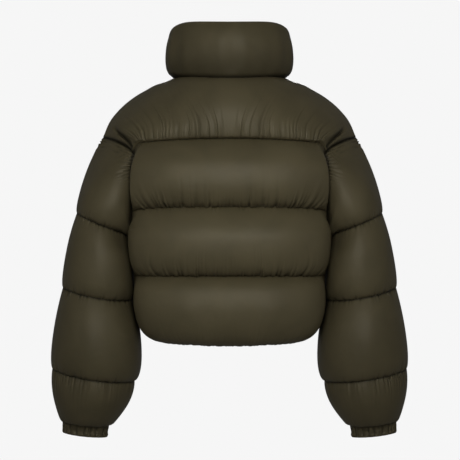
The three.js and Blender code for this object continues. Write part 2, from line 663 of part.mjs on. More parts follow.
// Sleeve and cuff
function sleeveOutside(level, degrees) {
  const turn = radians(degrees);
  const { turn: half, side } = armholeRound(degrees);
  const step = 0.01;
  const alongTurn = sleevePoint(level, degrees + 1).sub(sleevePoint(level, degrees - 1));
  const alongLevel = sleevePoint(Math.min(CUFF_END, level + step), degrees)
    .sub(sleevePoint(Math.max(0, level - step), degrees));
  const normal = alongTurn.cross(alongLevel).normalize();
  const cuffLift = point(-Math.cos(turn), Math.sin(turn), 0).normalize();
  const lift = easedLift(normal, [
    { near: smooth((0.3 - level) / 0.3), lift: armholeLift(half, side) },
    { near: smooth((level - 3.85) / 0.15), lift: cuffLift },
  ]);
  if (level > CUFF) {
    const rib = Math.sin(turn * CUFF_RIBS) * RIB_DEPTH * smooth((level - CUFF) / 0.3);
    return sleevePoint(level, degrees).addScaledVector(lift, SEWN_THICKNESS + rib);
  }
  const k = Math.min(3, Math.floor(level));
  const local = level - k;
  const { outer, face, inner, pressed, puckers } = SLEEVE_PILLOWS[k];
  const c = Math.cos(turn);
  const corners = c > 0 ? pressed * Math.sin(2 * turn) ** 2 * smooth((level - 1.1) / 0.3) : 0;
  const height = face * Math.sin(turn) ** 2 + (c > 0 ? inner : outer) * c * c + corners;
  const flat = smooth(Math.abs(Math.sin(turn)) * 1.4);
  const gathers = pucker(local, degrees / 360 + k * 0.17, puckers) * flat;
  const loft = height * baffle(1 - local) - gathers * pillow(local) * 1.2;
  return sleevePoint(level, degrees).addScaledVector(lift, SEWN_THICKNESS + Math.max(0, loft));
}

function sleeve() {
  const levels = SLEEVE_PILLOWS.flatMap((row, k) => PILLOW_ROWS.map((r) => k + r)).concat([CUFF]);
  return paddedWall({
    rows: levels.map((level) => level / CUFF),
    columns: sleeveColumns(),
    inside: (u, v) => sleevePoint(v * CUFF, u * 360),
    outside: (u, v) => sleeveOutside(v * CUFF, u * 360),
    wrap: true,
  });
}

function cuff() {
  const levels = CUFF_ROWS.map((share) => CUFF + share);
  return paddedWall({
    rows: levels.map((level) => level / CUFF_END),
    columns: spread(3 * CUFF_RIBS).slice(0, -1),
    inside: (u, v) => sleevePoint(v * CUFF_END, u * 360),
    outside: (u, v) => sleeveOutside(v * CUFF_END + 1e-6, u * 360),
    wrap: true,
    skip: 4,
  });
}

// Collar: a padded section carried round the neck from one side of the zip to the other.
// The section is a ring of places, from its outer sewn edge up, over and down inside.
function collarPoint(share, around) {
  const turn = mix(ZIP_TURN - Math.PI, Math.PI - ZIP_TURN, share);
  const place = Math.abs(turn);
  const out = point(Math.sin(place) / NECK.halfWidth, Math.cos(place) / NECK.back, 0).normalize();
  const fromZip = (1 - Math.abs(2 * share - 1)) * 0.5 * COLLAR_LENGTH;
  const lean = COLLAR_LEAN * (0.5 + 0.5 * Math.cos(turn));
  const { flat, round, drop } = COLLAR_EDGE;
  const full = pillow(Math.min(0.5, Math.max(0, fromZip - flat) / round));
  const half = mix(SEWN_THICKNESS / 2 + 0.2, COLLAR_THICKNESS / 2, full);
  const tall = COLLAR_HEIGHT - mix(drop, COLLAR_DIP * Math.sin(turn) ** 8, full);
  // A rounded oblong, narrow where it is sewn on and round over the top
  const angle = around * 2 * Math.PI;
  const up = 0.5 - 0.5 * Math.sign(Math.cos(angle)) * Math.abs(Math.cos(angle)) ** 0.62;
  const swell = Math.sign(Math.sin(angle)) * Math.abs(Math.sin(angle)) ** 0.62;
  const tuck = mix(COLLAR_TUCK.back, COLLAR_TUCK.side, Math.sin(turn) ** 2);
  const swelling = Math.sin(Math.PI / 2 * Math.min(1, up / tuck)) ** 0.8;
  const root = mix(SEWN_THICKNESS / 2 / half, 1, swelling);
  const bulge = 1 + COLLAR_BELLY * Math.sin(Math.PI * Math.min(1, up * 1.25)) * full;
  const across = SEWN_THICKNESS / 2 + swell * half * root * (swell > 0 ? bulge : 1);
  const at = neckPoint(place).addScaledVector(out, across - lean * up ** 3);
  at.z += up * tall + 0.3 + 0.45 * across * smooth((0.1 - up) / 0.1);
  if (turn < 0) at.x *= -1;
  return at;
}

// A closed solid through rings of places, all with the same even number of sides. Each
// end is filled with strips across its ring.
function ringSolid(rings) {
  const sides = rings[0].length;
  const triangles = [];
  const quad = (a, b, c, d) => triangles.push([a, b, c], [a, c, d]);
  for (let i = 0; i < rings.length - 1; i += 1) {
    const [here, there] = [i * sides, (i + 1) * sides];
    for (let j = 0; j < sides; j += 1) {
      const k = (j + 1) % sides;
      quad(here + j, there + j, there + k, here + k);
    }
  }
  const end = (rings.length - 1) * sides;
  for (let j = 0; j < sides / 2 - 1; j += 1) {
    const [a, b, c, d] = [j, j + 1, sides - 2 - j, sides - 1 - j];
    quad(a, b, c, d);
    quad(end + d, end + c, end + b, end + a);
  }
  return solidGeometry(rings.flat(), triangles);
}

function collar() {
  const sides = spread(COLLAR_SIDES).slice(0, -1).map((around) => around + 0.5 / COLLAR_SIDES);
  const ringAt = (share) => sides.map((around) => collarPoint(share, around));
  return ringSolid(spread(COLLAR_STATIONS).map(ringAt));
}

// Zip: the front's centre line from hem to collar top, and what is swept along it
const centreFront = () => {
  const places = bodyRows.map((v) => bodyPoint(v * YOKE, 0, -1));
  places.push(...YOKE_ROWS.slice(1).map((up) => yokePoint(up, 0, -1)));
  const foot = neckPoint(Math.PI);
  places.push(...[0.25, 0.5, 0.75, ZIP_TOP].map((up) => foot.clone().add(point(0, 0, up * COLLAR_HEIGHT))));
  return places;
};

// A flat strip along the centre line: from and to are its edges across the body,
// and near and far its two faces, counted outwards from the inside wall.
function zipStrip(line, { from, to, near, far }) {
  return ringSolid(line.map((at, i) => {
    const before = line[Math.max(0, i - 1)];
    const after = line[Math.min(line.length - 1, i + 1)];
    const along = after.clone().sub(before).normalize();
    const out = point(0, -along.z, along.y).normalize();
    return [[from, near], [to, near], [to, far], [from, far]]
      .map(([x, off]) => at.clone().addScaledVector(out, off).setX(x));
  }));
}

// Slider and tab, cut from rounded plates. They stand in the plane of the zip, with
// their fronts towards -Y, and the slider's middle is at the zip line's upper end.
const SLIDER_Z = NECK.frontZ + COLLAR_HEIGHT * SLIDER_PLACE;
const SLIDER_BACK = 2.4; // how far it reaches behind the zip line
const SLIDER_CORNER = 1.6;
const TAB_CORNER = 1.2;
const TAB_PLAY = 0.3; // between the tab and the arch, however it is turned
const ARCH_ROOT = 0.5; // how deep the arch is let into the slider's face
const CUT_SPARE = 1; // how much wider and deeper a cut is than what it goes through
const sliderFace = () => neckPoint(Math.PI).y - (SLIDER.depth - SLIDER_BACK);
const hinge = () => point(
  0,
  sliderFace() - (BRIDGE.reach - BRIDGE.bar) / 2,
  SLIDER_Z - BRIDGE.height / 2 + BRIDGE.bar + TAB.thickness * Math.SQRT1_2 + TAB_PLAY,
);

// A plate seen from the front, with round corners and its middle at x = 0
function plate({ width, height, thickness, corner, backY, z }) {
  const x = width / 2 - corner;
  const y = height / 2 - corner;
  const outline = new THREE.Shape();
  outline.absarc(x, y, corner, 0, Math.PI / 2);
  outline.absarc(-x, y, corner, Math.PI / 2, Math.PI);
  outline.absarc(-x, -y, corner, Math.PI, 1.5 * Math.PI);
  outline.absarc(x, -y, corner, 1.5 * Math.PI, 2 * Math.PI);
  const sizes = { depth: thickness, bevelEnabled: false, curveSegments: 4 };
  const geometry = new THREE.ExtrudeGeometry(outline, sizes);
  return toSolid(geometry.rotateX(Math.PI / 2).translate(0, backY, z));
}

function block({ width, depth, height, y, z }) {
  return toSolid(new THREE.BoxGeometry(width, depth, height).translate(0, y, z));
}

function toSolid(geometry) {
  geometry.deleteAttribute('normal');
  geometry.deleteAttribute('uv');
  const merged = mergeVertices(geometry, 1e-4);
  return new wasm.Manifold(new wasm.Mesh({
    numProp: 3,
    vertProperties: merged.getAttribute('position').array,
    triVerts: new Uint32Array(merged.getIndex().array),
  }));
}

function fromSolid(solid) {
  const { vertProperties, triVerts } = solid.getMesh();
  const geometry = new THREE.BufferGeometry();
  geometry.setAttribute('position', new THREE.BufferAttribute(vertProperties, 3));
  geometry.setIndex(new THREE.BufferAttribute(triVerts, 1));
  geometry.computeVertexNormals();
  return geometry;
}

function slider() {
  const face = sliderFace();
  const body = plate({
    width: SLIDER.width,
    height: SLIDER.height,
    thickness: SLIDER.depth,
    corner: SLIDER_CORNER,
    backY: face + SLIDER.depth,
    z: SLIDER_Z,
  });
  const arch = block({
    width: BRIDGE.width,
    depth: BRIDGE.reach + ARCH_ROOT,
    height: BRIDGE.height,
    y: face - (BRIDGE.reach - ARCH_ROOT) / 2,
    z: SLIDER_Z,
  });
  const eye = block({
    width: BRIDGE.width + CUT_SPARE,
    depth: BRIDGE.reach - BRIDGE.bar,
    height: BRIDGE.height - 2 * BRIDGE.bar,
    y: face - (BRIDGE.reach - BRIDGE.bar) / 2,
    z: SLIDER_Z,
  });
  return fromSolid(body.add(arch.subtract(eye)));
}

function tab() {
  const pin = hinge();
  const blank = plate({
    width: TAB.width,
    height: TAB.length,
    thickness: TAB.thickness,
    corner: TAB_CORNER,
    backY: pin.y + TAB.thickness / 2,
    z: pin.z + TAB.thickness / 2 - TAB.length / 2,
  });
  const slot = block({
    width: BRIDGE.width + CUT_SPARE,
    depth: TAB.thickness + 2 * CUT_SPARE,
    height: TAB.slot,
    y: pin.y,
    z: pin.z - TAB.thickness / 2 - TAB.slot / 2,
  });
  return fromSolid(blank.subtract(slot));
}

// Materials
const finish = (color, roughness, metalness) => () => (
  new THREE.MeshStandardMaterial({ color, roughness, metalness })
);
const shell = finish(0x3b3729, 0.5, 0);
const tape = finish(0x2c291e, 0.9, 0);
const metal = finish(0x4a463c, 0.35, 0.9);

// The jacket
const jacket = new THREE.Group();
jacket.name = 'puffer_jacket';
const place = (name, geometry, material) => {
  const mesh = new THREE.Mesh(geometry, material);
  mesh.name = name;
  jacket.add(mesh);
};
place('back', backPanel(), shell());
place('back_yoke', backYoke(), shell());
const front = frontPanel();
place('front_left', front, shell());
place('front_right', mirrored(front), shell());
const frontTop = frontYoke();
place('front_yoke_left', frontTop, shell());
place('front_yoke_right', mirrored(frontTop), shell());
const arm = sleeve();
place('sleeve_left', arm, shell());
place('sleeve_right', mirrored(arm), shell());
const band = cuff();
place('cuff_left', band, shell());
place('cuff_right', mirrored(band), shell());
place('collar', collar(), shell());
const zipLine = centreFront();
const zipTape = zipStrip(zipLine, TAPE_STRIP);
place('zip_tape_left', zipTape, tape());
place('zip_tape_right', mirrored(zipTape), tape());
const chainTop = SLIDER_Z - SLIDER.height / 2 - SEAM_GAP;
const teethLine = zipLine.filter((at) => at.z < chainTop - TEETH_TOP_STEP);
teethLine.push(zipLine[zipLine.length - 1].clone().setZ(chainTop));
place('zip_chain', zipStrip(teethLine, TEETH_STRIP), tape());
place('zip_slider', slider(), metal());
place('zip_pull', tab(), metal());

export default jacket;
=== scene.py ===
# Puffer jacket, seen from behind: padded panels, gathered seams, elastic cuffs and a front zip.
# Shapes are worked out in millimetres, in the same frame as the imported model, and put into
# the meshes in metres. The front faces -Y, the wearer's left is +X and +Z is up.
import bpy
import numpy as np
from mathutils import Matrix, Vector


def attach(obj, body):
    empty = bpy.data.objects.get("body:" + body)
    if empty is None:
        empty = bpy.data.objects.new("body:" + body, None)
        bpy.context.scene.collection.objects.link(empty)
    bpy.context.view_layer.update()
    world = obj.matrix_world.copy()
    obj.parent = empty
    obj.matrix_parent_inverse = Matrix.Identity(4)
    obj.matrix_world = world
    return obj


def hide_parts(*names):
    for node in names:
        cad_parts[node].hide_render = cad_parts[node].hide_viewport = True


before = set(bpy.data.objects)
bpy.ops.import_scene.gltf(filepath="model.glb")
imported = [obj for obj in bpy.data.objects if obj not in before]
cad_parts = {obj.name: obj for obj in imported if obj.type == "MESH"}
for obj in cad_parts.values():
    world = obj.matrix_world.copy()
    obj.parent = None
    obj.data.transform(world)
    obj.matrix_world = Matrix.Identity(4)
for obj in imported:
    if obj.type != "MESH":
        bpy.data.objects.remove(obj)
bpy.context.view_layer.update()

bl_info = {
    "name": "Puffer Jacket",
    "version": (1, 0, 0),
    "blender": (4, 5, 0),
    "location": "3D View > Sidebar > Jacket",
    "description": "Builds a cropped puffer jacket with a funnel collar around its packed model",
    "category": "Object",
}

# Driving sizes, the same as the solids have
SEAM_GAP = 0.3
SEWN_THICKNESS = 5.0
ZIP_OPENING = 5.0
BODY_SQUARENESS = 3.2
BODY_PILLOW = 31.0
YOKE_PILLOW = 17.0
YOKE_SKEW = 0.38
YOKE_OVERHANG = 0.62
SLEEVE_SIDE = 64.0
EDGE_ROUND = 36.0
SIDE_SHARE = 0.06
COLLAR_HEIGHT = 106.0
COLLAR_THICKNESS = 28.0
COLLAR_LEAN = 5.0
COLLAR_DIP = 9.0
COLLAR_TUCK = (0.7, 0.2)
COLLAR_BELLY = 0.24
COLLAR_EDGE = 0.62
COLLAR_ROUND = 560.0
COLLAR_ZIP_TURN = 0.058
YOKE_ZIP_SHARE = 0.022
HALF_GIRTH = 235.0
UNDERARM = 1.66
YOKE = 3
YOKE_CORNER = 140.0
ARMHOLE_BACK = np.radians(68)
NECK_HALF = 100.0
NECK_BACK = 70.0
NECK_FRONT = 88.0
NECK_BACK_Z = -6.0
NECK_SIDE_Z = -1.0
NECK_FRONT_Z = -45.0
NECK_CORNER = np.radians(96)
NECK_SHARE = 0.43
CUFF = 4
CUFF_END = 5
CUFF_RIBS = 20

# Grid sizes of the visible walls
BAFFLE_ROWS = 46
HALF_COLUMNS = 230
SLEEVE_ROWS = 40
SLEEVE_COLUMNS = 360
CUFF_ROWS = 22
CUFF_COLUMNS = 240
INSIDE_ROWS = 16
SLEEVE_INSIDE_ROWS = 24

# Puckers beside the sewn lines: reach, depth and pitch in mm. The sleeve's are those above its
# three sewn lines and its cuff, and its ruffles those below the sewn lines.
LONG_PUCKERS = (34, 6.4, 7.5)
SHORT_PUCKERS = (12, 2.0, 6.0)
YOKE_PUCKERS = (62, 2.6, 6.5)
NECK_PUCKERS = (9, 0.5, 11)
SLEEVE_PUCKERS = ((14, 3.0, 5.6), (14, 3.0, 5.6), (14, 3.0, 5.6), (20, 3.2, 8.5))
SLEEVE_RUFFLES = ((11, 3.2, 6.0), (11, 3.2, 6.0), (34, 3.0, 6.0))
COLLAR_FOOT_PUCKERS = (14, 1.6, 8)
COLLAR_TOP_PUCKERS = (12, 0.8, 12)
BODY_SEED = 11
FRONT_SEED = 20
SHORT_SEED = 41
YOKE_SEED = 31
SLEEVE_SEED = 51
RUFFLE_SEED = 61
COLLAR_SEED = 83
SLEEVE_GIRTH = 440.0
# Widths in mm of the painted shade in the crease beside the body's side edge and beside its armhole seam
SIDE_PAINTED_SHADE_WIDTH = 11.0
ARMHOLE_PAINTED_SHADE_WIDTH = 6.5
SEAM_REACH = 5.0
# Fill that closes the gap beside the body at the sleeve's second sewn line, in mm
SLEEVE_BESIDE = 2.8

# The body's inside wall from the hem up: height, half width, half depth
TORSO = np.array([
    (-494, 116, 90), (-478, 147, 102), (-460, 161, 110), (-434, 167, 114), (-400, 171, 117),
    (-367, 174, 118), (-303, 177, 121), (-242, 185, 122), (-180, 196, 120), (-115, 198, 111),
], float)
# Sewn lines across the body: height at the centre, and at the side
BODY_LINES = np.array([(-489, -467), (-367, -370), (-242, -249), (-118, -143)], float)
# Shoulder ridge: share of the way out, x, z, and how much of the pillow stands there
SHOULDER = np.array([
    (0, 99, -7, 0), (0.25, 136, -27, 0.75), (0.5, 169, -50, 1.1), (0.75, 203, -79, 1.05),
    (1, 234, -112, 0.3),
], float)
# Sewn lines round the sleeve: level, x, z, half width, half depth, tilt, sag
SLEEVE_LINES = np.array([
    (1, 237.4, -273, 48.6, 73, 25.4, 1), (2, 247.6, -403.5, 61.2, 75, 11.3, 5),
    (3, 255.4, -554, 73, 71, 9, 5), (4, 270, -647, 39, 27, 5, 1), (5, 271.6, -668.5, 36.5, 26, 7, 1),
], float)
# The sleeve's pillows from the shoulder down: outer side, back and front, inner side, and the
# fill pressed out at the two corners beside the body
SLEEVE_PILLOWS = np.array([(5, 17, 2, 0), (5.5, 17, 2, 8), (4.5, 17, 11, 5), (5, 15, 6.5, 0)], float)


def smooth(x):
    x = np.clip(x, 0, 1)
    return x * x * (3 - 2 * x)


def mix(a, b, share):
    return a + (b - a) * share


def blend(a, b, share):
    return a + (b - a) * np.asarray(share)[..., None]


def stack(x, y, z):
    return np.stack(np.broadcast_arrays(x, y, z), axis=-1).astype(float)


def unit(v):
    return v / np.maximum(np.linalg.norm(v, axis=-1, keepdims=True), 1e-9)


def read(table, column, at):
    """A column of a table at any place along its first one, on a cubic curve through the rows
    whose slope at each row is that of the chord between its two neighbours."""
    keys, values = table[:, 0], table[:, column]
    slopes = np.empty_like(values)
    slopes[1:-1] = (values[2:] - values[:-2]) / (keys[2:] - keys[:-2])
    slopes[0] = (values[1] - values[0]) / (keys[1] - keys[0])
    slopes[-1] = (values[-1] - values[-2]) / (keys[-1] - keys[-2])
    i = np.clip(np.searchsorted(keys, at, side="right") - 1, 0, len(keys) - 2)
    width = keys[i + 1] - keys[i]
    t = np.clip((at - keys[i]) / width, 0, 1)
    rest = 1 - t
    ends = values[i] * (1 + 2 * t) * rest * rest + values[i + 1] * t * t * (3 - 2 * t)
    return ends + width * (slopes[i] * t * rest * rest - slopes[i + 1] * t * t * rest)


def edge_z(level):
    k = np.minimum(np.floor(level), YOKE - 1).astype(int)
    return mix(BODY_LINES[k, 1], BODY_LINES[k + 1, 1], level - k)


# The armhole from the underarm round the back to the shoulder: turn, x, y, z, how far the
# sewn edge tips outwards, and how far the sleeve runs out sideways from it
UNDERARM_Z = float(edge_z(np.array(UNDERARM)))
ARMHOLE = np.array([
    (0, 177.5, 0, UNDERARM_Z, 1, 1.4), (30, 178, 40, UNDERARM_Z + 9, 0.85, 1.2),
    (60, 178.5, 65, -251, 0.5, 1), (90, 178, 74, -214, 0.22, 0.9), (118, 177, 73, -173, 0.14, 0.8),
    (YOKE_CORNER, 177, 66, -143, 0.3, 0.55), (160, 205, 36, -123, 1, 0.25), (180, 233, -5, -111, 1.9, 0.1),
], float)
ARMHOLE_MIDDLE_Z = -205.0
YOKE_CORNER_X, YOKE_CORNER_Z = ARMHOLE[5, 1], ARMHOLE[5, 3]
TURN_STEPS = np.linspace(0, YOKE_CORNER, 4000)
TURN_HEIGHTS = read(ARMHOLE, 3, TURN_STEPS)


def pillow(share):
    """Height of a pillow between two sewn lines: (1 - |2s - 1|^2.3)^0.72."""
    away = np.abs(2 * np.clip(share, 0, 1) - 1)
    return (1 - away ** 2.3) ** 0.72


def baffle(share):
    """Height of a hanging baffle over its share of the way up. The fill settles, so it curls under
    steeply at the bottom and slopes evenly at the top: (1 - |2s^0.85 - 1|^2.3)^(0.6 to 0.95)."""
    share = np.clip(share, 0, 1)
    away = np.abs(2 * share ** 0.85 - 1)
    return (1 - away ** 2.3) ** mix(0.6, 0.95, smooth((share - 0.3) / 0.5))


def fade(way, length):
    """1 on a line, and exp(-(way / length)^2) away from it."""
    return np.exp(-(way / length) ** 2)


def bent(x, power):
    """A power of the size of a number, with its sign kept."""
    return np.sign(x) * np.abs(x) ** power


def waves(t, rng):
    """A wandering line between about -1 and 1: four sines of unrelated lengths."""
    lengths = np.array([1, 1.618, 2.71, 4.43]) * rng.uniform(0.9, 1.1, 4)
    starts = rng.uniform(0, 2 * np.pi, 4)
    return sum(np.sin(2 * np.pi * t / size + start) for size, start in zip(lengths, starts)) / 2.6


def gathers(off, along, seed, reach, depth, pitch):
    """Puckers beside a sewn line, in mm. off is the way from the line and along the way along it.
    Three sets of folds, each about 1.9 times as wide as the last, are |sin| ridges with sharp
    valleys between them. Each fades with distance as exp(-(off / length)^2), the wider ones later."""
    rng = np.random.default_rng(seed)
    total = np.zeros(np.broadcast(off, along).shape)
    for size, share, height in ((pitch, 0.7, 1), (pitch * 1.9, 0.85, 0.65), (pitch * 3.4, 1, 0.5)):
        spacing = along / size + 0.4 * waves(along / size / 2.2, rng)
        strength = np.clip(0.75 + 0.7 * waves(along / size / 1.7, rng), 0.1, 2)
        length = reach * share * np.clip(0.8 + 0.7 * waves(along / size / 1.3, rng), 0.25, 1.8)
        ridge = np.abs(np.sin(np.pi * spacing)) ** 0.7 - 0.7
        total = total + depth * height * strength * ridge * fade(off, np.maximum(length, 1))
    return total * smooth(off / 1.5)


def arc(grid, axis):
    """How far each place of a grid is from its first row or column, along the grid."""
    steps = np.linalg.norm(np.diff(grid, axis=axis), axis=-1)
    return np.concatenate([np.zeros_like(np.take(steps, [0], axis)), np.cumsum(steps, axis)], axis)


def grid_normals(grid, outside):
    """Unit normals of a grid, on the side that outside points to."""
    normal = unit(np.cross(np.gradient(grid, axis=1), np.gradient(grid, axis=0)))
    return normal * np.where((normal * outside).sum(-1, keepdims=True) < 0, -1, 1)


# Shapes of the body. side is 1 for the back and -1 for the front.
def torso(turn, z, side):
    """A rounded oblong round the body: r = (|sin / half width|^p + |cos / half depth|^p)^(-1/p)."""
    across = np.abs(np.sin(turn)) / read(TORSO, 1, z)
    deep = np.abs(np.cos(turn)) / read(TORSO, 2, z)
    radius = (across ** BODY_SQUARENESS + deep ** BODY_SQUARENESS) ** (-1 / BODY_SQUARENESS)
    return stack(radius * np.sin(turn), side * radius * np.cos(turn), z)


def armhole(turn, side):
    shift = 0 if side > 0 else 2 * ARMHOLE[-1, 2] * smooth((turn - 150) / 30)
    return stack(read(ARMHOLE, 1, turn), side * read(ARMHOLE, 2, turn) + shift, read(ARMHOLE, 3, turn))


def armhole_lift(turn, side):
    """Direction of the sewn edge round the armhole, from inside to outside."""
    out = unit(armhole(turn, side) * (0, 1, 1) - (0, 0, ARMHOLE_MIDDLE_Z))
    out[..., 0] = read(ARMHOLE, 4, turn)
    return unit(out)


def armhole_turn(z):
    return np.interp(z, TURN_HEIGHTS, TURN_STEPS)


def body_inside(level, share, side):
    """A place on the inside wall: level counts sewn lines up from the hem, and share runs from
    the centre line to the side seam or armhole. The hem climbs to its edge as share cubed, and
    the rows above drop as 0.35 share^2 + 0.65 share^16, which turns down close to the edge."""
    level, share = np.broadcast_arrays(np.asarray(level, float), np.asarray(share, float))
    side_z = edge_z(level)
    k = np.minimum(np.floor(level), YOKE - 1).astype(int)
    centre_z = mix(BODY_LINES[k, 0], BODY_LINES[k + 1, 0], level - k)
    drop = mix(share ** 1.9, 0.35 * share ** 2 + 0.65 * share ** 16, smooth(level))
    z = mix(centre_z, side_z, drop)
    high = level > UNDERARM
    edge = np.where(
        high[..., None],
        armhole(armhole_turn(side_z), side),
        torso(np.full_like(side_z, np.pi / 2), side_z, side),
    )
    edge_turn = np.where(high, np.arctan2(edge[..., 0], np.abs(edge[..., 1])), np.pi / 2)
    fit = edge - torso(edge_turn, side_z, side)
    easy = mix(np.pi / 2, ARMHOLE_BACK, smooth(level - 1.1))
    turn = easy * (1.25 * share - 0.25 * share * share) + (edge_turn - easy) * share ** 10
    return torso(turn, z, side) + fit * (share ** 4)[..., None]


def body_edge_lift(level, side):
    seam = np.zeros(level.shape + (3,))
    seam[..., 0] = 1
    underarm = armhole_lift(np.zeros_like(level), side)
    low = unit(blend(seam, underarm, smooth((level - UNDERARM + 0.25) / 0.25)))
    high = armhole_lift(armhole_turn(edge_z(level)), side)
    return np.where((level > UNDERARM)[..., None], high, low)


def yoke_seam_lift(share, side):
    turn = 1.2 * share
    plain = unit(stack(np.sin(turn), side * np.cos(turn), 0.12))
    corner = armhole_lift(np.full_like(share, YOKE_CORNER), side)
    return unit(blend(plain, corner, smooth((share - 0.75) / 0.25)))


def step_normals(place, u, v, flip, step_u, step_v):
    across = place(np.minimum(1, u + step_u), v) - place(np.maximum(0, u - step_u), v)
    up = place(u, np.minimum(1, v + step_v)) - place(u, np.maximum(0, v - step_v))
    return unit(np.cross(across, up)) * flip


def body_outside(level, share, side):
    """The inside wall raised by the sewn thickness and its pillow, along the wall's own normal,
    which eases over to the directions shared with the yoke and the sleeve at the edges."""
    v = level / YOKE
    place = lambda a, b: body_inside(b * YOKE, a, side)
    lift = step_normals(place, np.clip(share, 0.004, 1), v, -side, 0.004, 0.004)
    lift = unit(blend(lift, yoke_seam_lift(share, side), smooth((v - 0.93) / 0.07)))
    lift = unit(blend(lift, body_edge_lift(level, side), smooth((share - 0.8) / 0.2)))
    k = np.minimum(np.floor(level), YOKE - 1)
    local = np.clip(level - k, 0, 1)
    base = body_inside(level, share, side)
    from_side = np.maximum(0, np.abs(base[..., 1]) - SLEEVE_SIDE)
    width = mix(SIDE_SHARE, 1, pillow(np.minimum(0.5, from_side / EDGE_ROUND / 2)))
    flat = smooth((level - UNDERARM + 0.3) / 0.28) * smooth((share - 0.84) / 0.16)
    hem_top = smooth((local - 0.5) / 0.4) * (k == 0)
    fullness = mix(baffle(local), pillow(local), hem_top)
    loft = BODY_PILLOW * fullness * width * (1 - flat)
    return base, lift, SEWN_THICKNESS + loft, smooth(from_side / 40)


def neck(turn):
    c, s = np.cos(turn), np.sin(turn)
    z = mix(NECK_SIDE_Z, np.where(c > 0, NECK_BACK_Z, NECK_FRONT_Z), c * c)
    return stack(NECK_HALF * s, np.where(c > 0, NECK_BACK, NECK_FRONT) * c, z)


def neck_lift(turn):
    level = unit(stack(np.sin(turn) / NECK_HALF, np.cos(turn) / NECK_BACK, 0))
    return unit(level + (0, 0, 0.45))


def yoke_top(share, side):
    """The yoke's upper edge: round the neck, then out along the shoulder's ridge."""
    t = np.minimum(share / NECK_SHARE, 1)
    turn = NECK_CORNER * t if side > 0 else np.pi - (np.pi - NECK_CORNER) * t
    along = np.clip((share - NECK_SHARE) / (1 - NECK_SHARE), 0, 1)
    corner = np.full_like(share, NECK_CORNER)
    start = neck(corner)
    near = (1 - along) ** 8
    ridge = stack(
        mix(read(SHOULDER, 1, along), start[..., 0], near),
        mix(start[..., 1], ARMHOLE[-1, 2], smooth(along)),
        mix(read(SHOULDER, 2, along), start[..., 2], near),
    )
    slope = unit(stack(mix(0.45, 1.1, along), 0, 1))
    lift = blend(neck_lift(corner), slope, smooth(along / 0.3))
    lift = unit(blend(lift, armhole_lift(np.full_like(share, 180), side), smooth((along - 0.7) / 0.3)))
    on_neck = (share <= NECK_SHARE)[..., None]
    return np.where(on_neck, neck(turn), ridge), np.where(on_neck, neck_lift(turn), lift), along


def eased_top(share, side):
    """The same edge with its corner at the neck rounded off, which the yoke's middle follows."""
    reach = np.minimum(0.16, np.minimum(share, 1 - share))
    return sum(yoke_top(share + off * reach, side)[0] for off in (-1, -0.5, 0, 0.5, 1)) / 5


def yoke_inside(up, share, side):
    """A cubic curve from the sewn line under the yoke to its upper edge. Towards the armhole it
    eases over to the armhole's own line, and its corner at the neck comes in as up^8."""
    up, share = np.broadcast_arrays(np.asarray(up, float), np.asarray(share, float))
    foot = body_inside(np.full_like(share, YOKE), share, side)
    top = eased_top(share, side)
    corner = yoke_top(share, side)[0] - top
    outward = neck_lift(share * 2 if side > 0 else np.pi - share * 2)
    from_neck = unit(outward * (1, 1, 0) + (0, 0, -0.3))
    away = unit(blend(from_neck, stack(0.25, side, -0.25), smooth((share - NECK_SHARE + 0.2) / 0.5)))
    reach = np.linalg.norm(top - foot, axis=-1, keepdims=True)
    low = foot + np.array([0, -side * 0.06, 1]) * 0.34 * reach
    high = top + away * 0.27 * reach
    t = up[..., None]
    rest = 1 - t
    at = foot * rest ** 3 + 3 * low * t * rest ** 2 + 3 * high * t * t * rest + top * t ** 3
    pull = smooth((share - 0.55) / 0.45)
    end = np.ones_like(share)
    edge_foot = body_inside(end * YOKE, end, side)
    edge_top = yoke_top(end, side)[0]
    line = armhole(mix(YOKE_CORNER, 180, up), side)
    straight = blend(edge_foot, edge_top, up)
    chord = blend(foot, top, up)
    pulled = chord + (at - chord) * (1 - pull)[..., None] + (line - straight) * pull[..., None]
    return np.where((pull > 0)[..., None], pulled, at) + corner * (up ** 8)[..., None]


def corner_fold(share, up):
    """The crease that runs up from the yoke's corner, beside the armhole seam."""
    middle = mix(0.985, 0.935, np.minimum(1, up / 0.65))
    off = (share - middle) / 0.014
    return 9 * np.exp(-off * off) * smooth(up / 0.1) * smooth((0.75 - up) / 0.3) * (share > 0.6)


def yoke_outside(up, share, side):
    place = lambda a, b: yoke_inside(b, a, side)
    inner = (0.004, 0.996)
    lift = step_normals(place, np.clip(share, *inner), np.clip(up, *inner), -side, 0.07, 0.04)
    top_lift, along = yoke_top(share, side)[1:]
    lift = unit(blend(lift, yoke_seam_lift(share, side), smooth((0.22 - up) / 0.22)))
    lift = unit(blend(lift, top_lift, smooth((up - 0.75) / 0.25)))
    lift = unit(blend(lift, armhole_lift(mix(YOKE_CORNER, 180, up), side), smooth((share - 0.8) / 0.2)))
    round_neck = 0.25 * smooth(share / NECK_SHARE - 0.9)
    on_ridge = np.where(share > NECK_SHARE, read(SHOULDER, 3, along), round_neck)
    low = pillow(up ** YOKE_SKEW) * mix(YOKE_OVERHANG, 1, smooth(up / 0.45))
    rise = mix(low, 1, on_ridge * 0.75 * smooth((up - 0.2) / 0.3))
    width = pillow(np.minimum(0.5, (1 - share) / 0.28 + 0.02))
    loft = YOKE_PILLOW * rise * width - corner_fold(share, up)
    return place(share, up), lift, SEWN_THICKNESS + np.maximum(0, loft), width


# A front starts at the zip, and its pillow also rounds off to it.
def zip_share(level):
    z = mix(BODY_LINES[0, 0], BODY_LINES[YOKE, 0], level / YOKE)
    edge = np.where(level <= UNDERARM, np.pi / 2, np.arctan2(180, 74))
    return ZIP_OPENING / (read(TORSO, 2, z) * edge * 1.25)


def beside_zip(height, level, share):
    off = np.maximum(0, (share - zip_share(level)) * HALF_GIRTH)
    width = 0.06 + 0.94 * pillow(np.minimum(0.5, off / EDGE_ROUND / 2 + 0.01))
    return mix(SEWN_THICKNESS, height, width)


